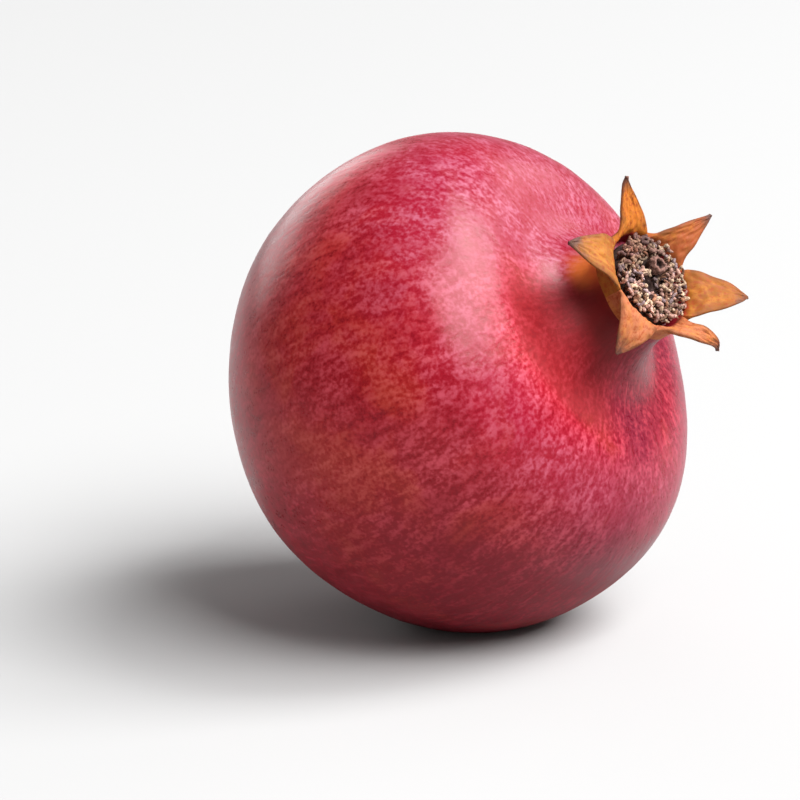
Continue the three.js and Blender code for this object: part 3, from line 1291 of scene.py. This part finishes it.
@dataclass
class Calyx:
    """The crown: a short tube that parts into six pointed lobes.

    The lap is how far the tube reaches below the cup's floor, and the seat how much its foot is
    drawn in. The parting is how far a lobe's taper has come where it leaves the tube, the point and
    the belly shape that taper, and the bow is how stiffly a lobe bends. The trough is how far its
    sides stand up, and up to the opening it still follows the round of the tube. What starts, ends,
    fades or sets in does so at a share of a lobe's length.
    """

    stance: Stance
    finish: CalyxFinish = CalyxFinish()
    lobes: tuple[Lobe, ...] = (
        Lobe(172, 19.3, 6, 9, 46, -6, 0.72, LobeTone.GOLDEN),
        Lobe(113, 19.8, 5.8, -5, 34, 6, 0.6, LobeTone.RUSSET),
        Lobe(56, 22.1, 4.2, 3, 4, -8, 1, LobeTone.AMBER),
        Lobe(-4, 19.4, 0.4, 25, -44, 16, 0.58, LobeTone.ROSY),
        Lobe(-64, 18.9, -4.6, 6, -50, 4, 1, LobeTone.ROSY),
        Lobe(-122, 22.6, 0, -2, -16, -6, 1.05, LobeTone.TAN),
    )
    across: int = 34
    tube_rows: int = 20
    lobe_rows: int = 84
    rim_radius: float = 10.5
    notch_rise: float = -1.5
    lap: float = 0.6
    seat: float = 0.12
    seat_end: float = 0.12
    ridge_end: float = 0.9
    rim_pull: Spot = (0.5, 1.5)
    bow: float = 5.0
    half_width: float = 5.7
    tip_half_width: float = 0.22
    parting: float = 0.1
    point: float = 0.8
    belly: float = 0.6
    root_breadth: float = 0.5
    turn_start: float = 0.15
    root_trough: float = 1.35
    trough: float = 0.6
    trough_fade: float = 0.35
    trough_taper: float = 0.2
    sink: float = 0.2
    edge_wave: Flutter = Flutter(0.07, 9, 2, 5, (0.1, 0.5))
    ruffle: Flutter = Flutter(0.16, 11, 0, 3.1, (0.15, 0.6))
    ruffle_power: float = 1.5
    opening: float = 0.24
    opening_power: float = 2.6
    root_thickness: float = 1.7
    rim_thickness: float = 1.35
    tip_thickness: float = 0.7
    edge_thickness: float = 0.16
    edge_power: float = 3.2
    free_end: float = 0.16
    keel: float = 0.22
    keel_width: float = 0.16
    keel_start: float = 0.15
    wrinkles: Ripple = Ripple(0.12, 1.7, 31)
    wrinkle_pitch: float = 7.0
    wrinkle_shift: float = 20.0
    wrinkle_onset: Limits = (0.5, 1.3)
    inner_wrinkle: float = 0.6
    vein_pitch: tuple[float, float, float, float] = (5, 2.8, 0.8, 9)
    edge_onset: Limits = (0.03, 0.2)
    tube_red: float = 0.35
    tube_red_fade: Limits = (0.5, 1.0)
    inner_red: float = 0.12
    weld_distance: float = 0.03

    def midline(self, lobe: Lobe, share: Array) -> Array:
        """The middle of a lobe from the notch to the tip, as pairs of radius and height.

        Args:
            lobe: The lobe.
            share: How far along it each point lies, 0 to 1.

        Returns:
            The pairs.
        """
        slope = radians(lobe.heading)
        outward, upward = self.rim_pull
        controls = [
            (self.rim_radius, self.notch_rise),
            (self.rim_radius + outward, upward),
            (lobe.reach - self.bow * cos(slope), lobe.rise - self.bow * sin(slope)),
            (lobe.reach, lobe.rise),
        ]
        return bezier(controls, share)

    def sector(self, index: int) -> tuple[float, float, float]:
        """The lobe's share of the way round the tube.

        Args:
            index: Which lobe it is.

        Returns:
            The angles at which the share starts, has its middle and ends, in radians.
        """
        turns = [lobe.angle for lobe in self.lobes]
        here = turns[index]
        before = turns[index - 1] + (360 if index == 0 else 0)
        after = turns[(index + 1) % len(turns)] - (360 if index == len(turns) - 1 else 0)
        return radians((here + after) / 2), radians(here), radians((here + before) / 2)

    def tube_part(self, index: int, side: Array) -> tuple[Array, Array]:
        """A lobe's share of the tube.

        Args:
            index: Which lobe it belongs to.
            side: The place of each column across, -1 to 1.

        Returns:
            Its middle surface, and the angles of its columns.
        """
        start, middle, end = self.sector(index)
        angle = np.where(side < 0, blend(middle, start, -side), blend(middle, end, side))
        form = self.stance.form
        share = (np.arange(self.tube_rows) / self.tube_rows)[:, None]
        height = blend(-form.cup_depth - self.lap, self.notch_rise, share)
        root = form.neck_radius - self.root_thickness / 2 - self.seat * smooth(share, self.seat_end, 0)
        ridge = form.neck_ridge * form.lobe_wave(angle) * smooth(share, self.ridge_end, 0)
        radius = blend(root, self.rim_radius, smooth(share, 0, 1)) + ridge
        return polar(radius, angle, height), angle

    def lobe_part(self, index: int, side: Array, angle: Array) -> tuple[Array, Array]:
        """The free part of a lobe.

        Args:
            index: Which lobe it is.
            side: The place of each column across, -1 to 1.
            angle: The angles of the columns in the tube below.

        Returns:
            Its middle surface, and how far along each row lies.
        """
        lobe = self.lobes[index]
        share = np.linspace(0, 1, self.lobe_rows)[:, None]
        spot = self.midline(lobe, share[:, 0])
        radius, height = spot[:, :1], spot[:, 1:]
        tangent = unit(np.gradient(spot, axis=0))
        outward, upward = tangent[:, :1], tangent[:, 1:]
        along = blend(self.parting, 1.0, share)
        taper = (1 - along) ** self.point * (1 + self.belly * along)
        width = self.half_width * lobe.breadth ** blend(self.root_breadth, 1.0, along) * taper
        width = width * (1 + taper * self.edge_wave.at(share, side, index))
        width = np.maximum(self.tip_half_width, width)
        trough = blend(self.root_trough, self.trough, smooth(share, 0, self.trough_fade))
        trough = trough * blend(1.0, taper, smooth(share, 0, self.trough_taper)) * side**2
        ruffle = self.ruffle.at(share, side, index) * np.abs(side) ** self.ruffle_power
        lift = trough + ruffle - self.sink
        free = smooth(along, self.turn_start, 1)
        twist = radians(lobe.twist) * free
        sideways = side * width * np.cos(twist) - lift * np.sin(twist)
        raised = side * width * np.sin(twist) + lift * np.cos(twist)
        bearing = radians(lobe.angle) + radians(lobe.swing) * free
        blade = polar(radius - upward * raised, bearing, height + outward * raised)
        blade = blade + polar(1.0, bearing + pi / 2, 0.0) * sideways[..., None]
        opened = 1 - (1 - np.clip(share / self.opening, 0, 1)) ** self.opening_power
        return blend(polar(radius, angle, height), blade, opened[..., None]), share

    def strip(self, index: int) -> Strip:
        """The grid of a lobe with its share of the tube.

        Args:
            index: Which lobe it is.

        Returns:
            The grid.
        """
        side = np.sin(np.linspace(-pi / 2, pi / 2, self.across))[None]
        low, angle = self.tube_part(index, side)
        high, share = self.lobe_part(index, side, angle)
        rise = np.concatenate([np.arange(self.tube_rows) / self.tube_rows, np.ones(self.lobe_rows)])
        along = np.concatenate([np.zeros(self.tube_rows), share[:, 0]])
        return Strip(index, np.concatenate([low, high]), side, rise[:, None], along[:, None])

    def sheets(self, strip: Strip) -> Array:
        """The outer and the inner surface of a strip.

        Args:
            strip: The strip.

        Returns:
            The points of the outer surface and then those of the inner one.
        """
        side, along, edge = strip.side, strip.along, np.abs(strip.side)
        thick = blend(self.root_thickness, self.rim_thickness, smooth(strip.rise, 0, 1))
        thick = blend(thick, self.tip_thickness, along)
        lens = blend(self.edge_thickness, 1.0, np.sqrt(1 - edge**self.edge_power))
        thick = thick * blend(1.0, lens, smooth(along, 0, self.free_end))
        keel = self.keel * np.exp(-((side / self.keel_width) ** 2))
        keel = keel * smooth(along, 0, self.keel_start) * (1 - along)
        pitch = self.wrinkle_pitch
        spots = stacked(side * pitch, along * pitch + strip.index * self.wrinkle_shift, 0)
        wrinkle = self.wrinkles(spots) * (1 - edge**4) * smooth(strip.rise + along, *self.wrinkle_onset)
        normals = grid_normals(strip.middle, False)
        outer = strip.middle - normals * (thick / 2 + keel + wrinkle)[..., None]
        inner = strip.middle + normals * (thick / 2 + self.inner_wrinkle * wrinkle)[..., None]
        return np.concatenate([outer.reshape(-1, 3), inner.reshape(-1, 3)])

    def marks(self, strip: Strip) -> dict[str, Array]:
        """The values that the strip keeps for the finish, for both of its surfaces.

        Args:
            strip: The strip.

        Returns:
            The values by their names.
        """
        side, rise, along = strip.side, strip.rise, strip.along
        across, up_lobe, up_tube, apart = self.vein_pitch
        vein = stacked(side * across, along * up_lobe + rise * up_tube, strip.index * apart)
        tube_red = self.tube_red * smooth(rise, *self.tube_red_fade)
        root = 1 - tube_red - (1 - self.tube_red) * smooth(along, 0, self.free_end)
        edge = np.abs(side) * smooth(along, *self.edge_onset)
        outer = stacked(along, edge, root).reshape(-1, 3)
        both = np.concatenate([outer, outer * [1, 1, self.inner_red]])
        return {
            "along": both[:, 0],
            "edge": both[:, 1],
            "root": both[:, 2],
            "vein": np.tile(vein.reshape(-1, 3), (2, 1)),
            "tone": tint(self.lobes[strip.index].tone.value),
        }

    def faces(self) -> Faces:
        """The faces of a strip: its two surfaces, and those that close its sides, tip and root.

        Returns:
            Four point numbers for each face.
        """
        rows = self.tube_rows + self.lobe_rows
        count = rows * self.across
        outer = grid_faces(rows, self.across, False)
        faces = [*outer.tolist(), *(outer[:, ::-1] + count).tolist()]
        for row in range(self.tube_rows - 1, rows - 1):
            left = row * self.across
            right = left + self.across - 1
            faces.append([left, left + self.across, left + self.across + count, left + count])
            faces.append([right, right + count, right + self.across + count, right + self.across])
        for column in range(self.across - 1):
            top = (rows - 1) * self.across + column
            faces.append([top, top + 1, top + 1 + count, top + count])
            faces.append([column, column + count, column + 1 + count, column + 1])
        return faces

    def weld(self, piece: Piece) -> None:
        """Joins the points that neighbouring lobes share along the tube.

        Args:
            piece: The crown with its lobes side by side.
        """
        maker = bmesh.new()
        maker.from_mesh(piece.data)
        seam = {vert for edge in maker.edges if edge.is_boundary for vert in edge.verts}
        bmesh.ops.remove_doubles(maker, verts=list(seam), dist=self.weld_distance * MM)
        bmesh.ops.recalc_face_normals(maker, faces=maker.faces)
        maker.to_mesh(piece.data)
        maker.free()

    def build(self) -> Piece:
        """Builds and dresses the crown.

        Returns:
            The finished piece.
        """
        shape = Shape()
        faces = self.faces()
        for index in range(len(self.lobes)):
            strip = self.strip(index)
            shape.add(self.stance.crown(self.sheets(strip)), faces, **self.marks(strip))
        piece = shape.build("calyx_lobes")
        self.weld(piece)
        return hand_over(piece, self.finish.material(), "calyx")


class StamenTone(Enum):
    """The colours of the dried anthers, filaments and the bed they stand in."""

    CREAM = "#bda086"
    PINK = "#ac8477"
    LAVENDER = "#8e7879"
    TAN = "#865c45"
    # The brown of the painted shadow that the lobes cast on the mat.
    BROWN = "#6a3a2a"
    FILAMENT = "#714d3a"
    # Near-black: the cup's floor, partly its own colour and partly painted shade in the gaps between the
    # anthers.
    BED = "#24110b"


@dataclass(frozen=True)
class Dip:
    """A dip in the mat: its distance from the cup's middle, its angle, its size and its brink."""

    offset: float
    angle: float
    size: float
    brink: float

    def depth(self, spot: Array) -> float:
        """How deep a spot lies in the dip, 0 to 1."""
        middle = polar(self.offset, radians(self.angle), 0.0)
        return float(smooth(np.hypot(*(spot - middle)[:2]), self.size + self.brink, self.size))


@dataclass
class Stamens:
    """The dried stamens: lumpy anthers on bent filaments, matted over a dark bed.

    Heads stand on a spiral that fills the cup. The level is their mean height above the rim, and
    the gather how far out a filament's foot stands, as a share of its head's distance. The tones
    are the anthers' colours and how often each comes. Each anther is lightened with painted light
    towards one side of the mat and on raised clumps, and darkened with painted shade in the dips.
    """

    stance: Stance
    finish: DriedFinish = DriedFinish("stamen_dry", "#3c2620", Cloud(0.4, 4, 0.7), 0.12)
    seed: int = 4211
    count: int = 340
    spread: float = 8.9
    level: float = 0.1
    clumps: Ripple = Ripple(0.45, 4.2, 53)
    unevenness: Limits = (-1.05, 0.6)
    scatter: float = 0.2
    dips: tuple[Dip, ...] = (Dip(3.3, 125, 2.3, 1.1), Dip(1.7, -45, 1.9, 1.0))
    dip_bare: float = 0.75
    dip_fall: float = 1.6
    # Painted shade: how much darker the anthers in the dips are.
    dip_shade: float = 0.7
    tones: tuple[tuple[StamenTone, float], ...] = (
        (StamenTone.CREAM, 0.36),
        (StamenTone.PINK, 0.34),
        (StamenTone.LAVENDER, 0.16),
        (StamenTone.TAN, 0.14),
    )
    tone_range: Limits = (0.65, 1.2)
    paleness: float = 1.05
    # Painted light: how much lighter the anthers get towards the side at the given angle and on raised
    # clumps.
    sunny_paleness: float = 0.3
    sunny_angle: float = -55.0
    clump_paleness: float = 0.5
    # Painted shadow of the nearby lobes, which turns the anthers on that side brown.
    browned: Zone = Zone(190, (0.55, 0.95), ((3.5, 6.5),))
    browning: float = 0.7
    anther_bend: Limits = (0.5, 1.9)
    anther_length: Limits = (1.2, 2.3)
    anther_girth: Limits = (0.24, 0.42)
    anther_lumps: Limits = (0.75, 1.2)
    anther_pitch: float = 0.25
    anther_end: float = 1.03
    anther_turns: tuple[float, float, float] = (pi, 1.3, 1.3)
    anther_rings: int = 11
    anther_sides: int = 9
    filament_radius: float = 0.14
    filament_taper: Limits = (1.25, 0.8)
    filament_bend: tuple[float, float, float] = (0.6, 0.6, 0.18)
    filament_rise: float = 1.4
    filament_neck: float = 0.8
    filament_rings: int = 8
    filament_sides: int = 6
    foot_rise: float = 1.0
    gather: float = 0.86
    strays: int = 110
    stray_level: Limits = (-0.5, 0.55)
    stray_dip: float = 0.3
    stray_gather: float = 0.7
    stray_tone: Limits = (0.7, 1.5)
    bed_outline: tuple[Spot, ...] = ((0.3, 0), (8.7, 0), (8.7, 2.1), (6.7, 2.6), (0.3, 2.6))
    bed_cuts: int = 3
    bed_steps: int = 72
    bed_lumps: Ripple = Ripple(0.35, 1.6, 51)
    bed_lump_fade: Limits = (1.0, 2.6)

    @property
    def floor(self) -> float:
        """The height of the cup's floor."""
        return -self.stance.form.cup_depth

    def bed(self, shape: Shape) -> None:
        """Adds the dark bed that fills the bottom of the cup.

        Args:
            shape: What it is added to.
        """
        outline = rounded(self.bed_outline, self.bed_cuts)
        radius, angle, height = turned_out(outline, self.bed_steps)
        points = polar(radius, angle, height + self.floor)
        points[..., 2] += self.bed_lumps(points) * smooth(height, *self.bed_lump_fade)
        # The floor of the cup in near-black, partly its own colour and partly painted shade.
        shape.add_turned(self.stance.crown(points), tone=tint(StamenTone.BED.value))

    def sunk(self, spot: Array) -> float:
        """How deep a spot lies in one of the dips, 0 to 1."""
        return max(dip.depth(spot) for dip in self.dips)

    def anther(self, random: np.random.Generator) -> tuple[Array, Faces]:
        """One dried anther, bent like a comma and turned at random.

        Args:
            random: The random draw.

        Returns:
            Its points and its faces.
        """
        bend = random.uniform(*self.anther_bend)
        length = random.uniform(*self.anther_length)
        share = np.linspace(-1, 1, self.anther_rings)
        path = stacked(np.cos(bend * share), np.sin(bend * share), self.anther_pitch * share)
        path = path * length / (2 * bend)
        path -= path.mean(axis=0)
        girth = random.uniform(*self.anther_girth) * np.sqrt(self.anther_end - share**4)
        girth = girth * random.uniform(*self.anther_lumps, size=self.anther_rings)
        points, faces = tube(path, girth, self.anther_sides)
        for axis, most in zip(np.eye(3)[[2, 0, 1]], self.anther_turns):
            points = turned_about(points, axis, random.uniform(-most, most))
        return points, faces

    def filament(self, head: Array, gather: float, random: np.random.Generator) -> tuple[Array, Faces]:
        """A filament that bends on its way from the bed to a head.

        Args:
            head: Where it ends.
            gather: How far out its foot stands, as a share of the head's distance.
            random: The random draw.

        Returns:
            Its points and its faces.
        """
        foot = np.array([head[0] * gather, head[1] * gather, self.floor + self.foot_rise])
        bend = random.normal(size=3) * self.filament_bend
        neck = head + bend - [0, 0, self.filament_neck]
        share = np.linspace(0, 1, self.filament_rings)
        path = bezier([foot, foot + [0, 0, self.filament_rise], neck, head], share)
        return tube(path, self.filament_radius * blend(*self.filament_taper, share), self.filament_sides)

    def anthers(self, shape: Shape, random: np.random.Generator) -> None:
        """Adds the anthers, each on its filament.

        Args:
            shape: What they are added to.
            random: The random draw.
        """
        tones, odds = zip(*self.tones)
        brown = tint(StamenTone.BROWN.value)
        for number in range(self.count):
            radius = self.spread * sqrt((number + 0.5) / self.count)
            angle = number * GOLDEN_ANGLE
            head = polar(radius, angle, self.level)
            rise = float(self.clumps(head))
            head[2] += rise + random.uniform(*self.unevenness)
            head[:2] += random.normal(scale=self.scatter, size=2)
            sunk = self.sunk(head)
            if sunk > self.dip_bare:
                continue
            head[2] -= self.dip_fall * sunk
            tone = tint(tones[random.choice(len(tones), p=odds)].value)
            # Painted light and shade: lighter towards one side and on raised clumps, darker in the dips.
            sunny = radius / self.spread * cos(angle - radians(self.sunny_angle))
            pale = self.paleness + self.sunny_paleness * sunny + self.clump_paleness * rise
            pale *= 1 - self.dip_shade * sunk
            # Painted shadow of the lobes: the anthers on that side turn towards brown.
            tone = blend(tone, brown, self.browning * self.browned.share(angle, radius))
            tone = tone * pale * random.uniform(*self.tone_range)
            points, faces = self.anther(random)
            shape.add(self.stance.crown(points + head), faces, tone=tone)
            points, faces = self.filament(head, self.gather, random)
            shape.add(self.stance.crown(points), faces, tone=tint(StamenTone.FILAMENT.value))

    def stray_filaments(self, shape: Shape, random: np.random.Generator) -> None:
        """Adds filaments that have lost their anthers.

        Args:
            shape: What they are added to.
            random: The random draw.
        """
        for _ in range(self.strays):
            radius = self.spread * sqrt(random.uniform())
            angle = random.uniform(0, 2 * pi)
            head = polar(radius, angle, self.level + random.uniform(*self.stray_level))
            if self.sunk(head) > self.stray_dip:
                continue
            points, faces = self.filament(head, self.stray_gather, random)
            tone = tint(StamenTone.FILAMENT.value) * random.uniform(*self.stray_tone)
            shape.add(self.stance.crown(points), faces, tone=tone)

    def build(self) -> Piece:
        """Builds and dresses the stamens.

        Returns:
            The finished piece.
        """
        random = np.random.default_rng(self.seed)
        shape = Shape()
        self.bed(shape)
        self.anthers(shape, random)
        self.stray_filaments(shape, random)
        return hand_over(shape.build("stamen_mat"), self.finish.material(), "stamens")


@dataclass
class Style:
    """The dried style with its swollen, pitted tip.

    Its outline runs up the stalk, round the tip and down into the pit.
    """

    stance: Stance
    finish: DriedFinish = DriedFinish("style_dry", "#2c1714", Cloud(0.45, 4, 0.7), 0.1)
    offset: float = 3.3
    angle: float = 125.0
    axis: float = 0.05
    stalk_radius: float = 0.9
    stalk_top: float = -1.6
    tip_outline: tuple[Spot, ...] = ((1.7, -0.9), (1.85, 0.3), (1.65, 1.1))
    pit_outline: tuple[Spot, ...] = ((1.05, 1.12), (0.95, 0.5), (0.7, -0.1), (0.05, -0.1))
    corner_cuts: int = 3
    pit_fade: Limits = (1.1, 0.8)
    ridges: Waves = Waves(7, 0.09, 10)
    corners: Waves = Waves(3, 0.05, 70)
    ridge_fade: Limits = (0.3, 1.2)
    wrinkles: Ripple = Ripple(0.12, 0.9, 61)
    tone: str = "#7d594f"
    # Painted shade of the pit in the tip.
    pit_tone: str = "#200e0a"
    steps: int = 56

    def build(self) -> Piece:
        """Builds and dresses the style.

        Returns:
            The finished piece.
        """
        floor = -self.stance.form.cup_depth
        stalk = [(self.axis, floor), (self.stalk_radius, floor), (self.stalk_radius, self.stalk_top)]
        outline = rounded([*stalk, *self.tip_outline, *self.pit_outline], self.corner_cuts)
        radius, angle, height = turned_out(outline, self.steps)
        ridges = self.ridges.at(angle) * smooth(radius, *self.ridge_fade) + self.corners.at(angle)
        points = polar(radius * (1 + ridges), angle, height)
        points += grid_normals(points, True) * self.wrinkles(points)[..., None]
        # Painted shade: the pit in the tip is darkened towards its middle.
        deep = smooth(radius, *self.pit_fade) * (height > self.stalk_top)
        tone = blend(tint(self.tone), tint(self.pit_tone), deep[..., None])
        points += polar(self.offset, radians(self.angle), 0.0)
        shape = Shape()
        shape.add_turned(self.stance.crown(points), tone=tone)
        return hand_over(shape.build("style_tip"), self.finish.material(), "style")


@dataclass
class StemStub:
    """The clipped woody stalk in its dimple, with a flared foot and a rough cut end.

    Its outline runs from the middle of the cut end to the root, with heights above the foot.
    """

    stance: Stance
    finish: BarkFinish = BarkFinish()
    length: float = 4.6
    end_outline: tuple[Spot, ...] = ((0.1, -4.5), (2.15, -4.6), (2.5, -4.35), (2.5, -3.6), (2.25, -2.3))
    foot_outline: tuple[Spot, ...] = ((3.1, -0.7), (3.2, 0.2), (2.7, 1.3), (0.1, 1.3))
    corner_cuts: int = 4
    slant: Waves = Waves(1, 0.2, 70)
    corners: Waves = Waves(5, 0.06, 20)
    ribs: Waves = Waves(17, 0.1, 0)
    knobs: Ripple = Ripple(0.14, 1.3, 71)
    knob_stretch: tuple[float, float, float] = (1, 1, 0.4)
    side_start: Limits = (1.6, 2.1)
    cut_rise: Limits = (0.3, 0.12)
    cut_edge: Limits = (2.35, 2.1)
    ring_turn: float = 0.3
    steps: int = 96

    def build(self) -> Piece:
        """Builds and dresses the stalk.

        Returns:
            The finished piece.
        """
        form = self.stance.form
        foot = form.dimple_depth - form.stem_depth - 2 * form.gap
        outline = rounded([*self.end_outline, *self.foot_outline], self.corner_cuts)
        radius, angle, height = turned_out(outline, self.steps)
        slant = radius * self.slant.at(angle) * smooth(-height, 0, self.length)
        points = polar(radius * (1 + self.corners.at(angle)), angle, foot + height + slant)
        bark = self.ribs.at(angle) + self.knobs(points * self.knob_stretch)
        bark = bark * smooth(radius, *self.side_start)
        points += grid_normals(points, True) * bark[..., None]
        cut = smooth(height + self.length, *self.cut_rise) * smooth(radius, *self.cut_edge)
        ring = stacked(radius, self.ring_turn * angle, 0)
        shape = Shape()
        shape.add_turned(self.stance.body(points), cut=cut, ring=ring)
        return hand_over(shape.build("stem_stub_bark"), self.finish.material(), "stem_stub")


# ---------------------------------------------------------------- the studio


@dataclass(frozen=True)
class Softbox:
    """A large soft lamp: the direction it stands in, its distance and size in metres, its brightness."""

    name: str
    azimuth: float
    elevation: float
    distance: float
    width: float
    height: float
    brightness: float


@dataclass
class Studio:
    """The pale floor, the soft lamps and the camera, with the floor and the camera in metres.

    The camera aims a little to the left of the body's middle and below it, in millimetres.
    """

    stance: Stance
    finish: FloorFinish = FloorFinish()
    floor_size: float = 8.0
    camera_azimuth: float = 31.0
    camera_elevation: float = 15.0
    camera_distance: float = 0.8
    camera_lens: float = 180.0
    aim_left: float = 12.86
    aim_below: float = 4.06
    room_light: float = 0.3
    lamps: tuple[Softbox, ...] = (
        Softbox("key_lamp", 84.0, 50.0, 5.0, 4.3, 2.9, 13.0),
        Softbox("edge_lamp", 131.0, 49.0, 4.0, 1.3, 2.9, 14.5),
        Softbox("back_lamp", 166.0, 27.0, 4.0, 2.4, 1.4, 2.4),
        Softbox("side_lamp", -118.0, 13.0, 4.0, 3.2, 1.3, 3.0),
    )

    @property
    def middle(self) -> Vector:
        """The middle of the body, in metres."""
        return Vector((0, 0, self.stance.middle * MM))

    def direction(self, azimuth: float, elevation: float) -> Vector:
        """The direction from the fruit to a place, with the azimuth measured from -Y round towards +X."""
        turn, rise = radians(azimuth), radians(elevation)
        return Vector((sin(turn) * cos(rise), -cos(turn) * cos(rise), sin(rise)))

    def facing(self, direction: Vector) -> Matrix:
        """The turn of a lamp or camera that stands in a direction and looks back at the fruit."""
        right = Vector((0, 0, 1)).cross(direction).normalized()
        return Matrix((right, direction.cross(right), direction)).transposed().to_4x4()

    def floor(self) -> None:
        """Lays the floor."""
        shape = Shape()
        reach = self.floor_size / 2 / MM
        corners = [(-reach, -reach, 0), (reach, -reach, 0), (reach, reach, 0), (-reach, reach, 0)]
        shape.add(np.array(corners), [[0, 1, 2, 3]])
        board = shape.build("floor")
        board.data.materials.append(self.finish.material())

    def lamp(self, box: Softbox) -> None:
        """Hangs a lamp that faces the fruit.

        Args:
            box: The lamp.
        """
        light = bpy.data.lights.new(box.name, "AREA")
        light.shape = "RECTANGLE"
        light.size = box.width
        light.size_y = box.height
        light.energy = pi * box.width * box.height * box.brightness
        lamp = bpy.data.objects.new(box.name, light)
        bpy.context.scene.collection.objects.link(lamp)
        direction = self.direction(box.azimuth, box.elevation)
        place = Matrix.Translation(self.middle + direction * box.distance)
        lamp.matrix_world = place @ self.facing(direction)

    def room(self) -> None:
        """Sets the even light of the room."""
        world = bpy.data.worlds.new("room")
        world.use_nodes = True
        background = world.node_tree.nodes["Background"]
        background.inputs["Strength"].default_value = self.room_light
        background.inputs["Color"].default_value = (1, 1, 1, 1)
        bpy.context.scene.world = world

    def camera(self) -> None:
        """Sets up the camera with a long lens."""
        camera = bpy.data.objects.new("camera", bpy.data.cameras.new("camera"))
        bpy.context.scene.collection.objects.link(camera)
        direction = self.direction(self.camera_azimuth, self.camera_elevation)
        turn = self.facing(direction)
        right, up = turn.col[0].xyz, turn.col[1].xyz
        aim = self.middle - right * self.aim_left * MM - up * self.aim_below * MM
        camera.matrix_world = Matrix.Translation(aim + direction * self.camera_distance) @ turn
        camera.data.lens = self.camera_lens
        bpy.context.scene.camera = camera

    def build(self) -> None:
        """Builds the whole studio."""
        self.floor()
        self.room()
        for box in self.lamps:
            self.lamp(box)
        self.camera()
        bpy.context.scene.view_settings.view_transform = "Standard"
        log.info("studio: camera %.0f mm, %d soft lamps", self.camera_lens, len(self.lamps))


def main() -> None:
    """Builds the pieces in order."""
    logging.basicConfig(level=logging.INFO, format="%(name)s %(message)s")
    stance = Stance.on_frame(BodyForm())
    log.info("the body's middle is %.2f mm above the table", stance.middle)
    for part in (Rind(stance), Calyx(stance), Stamens(stance), Style(stance), StemStub(stance)):
        part.build()
    Studio(stance).build()


if __name__ == "__main__":
    main()
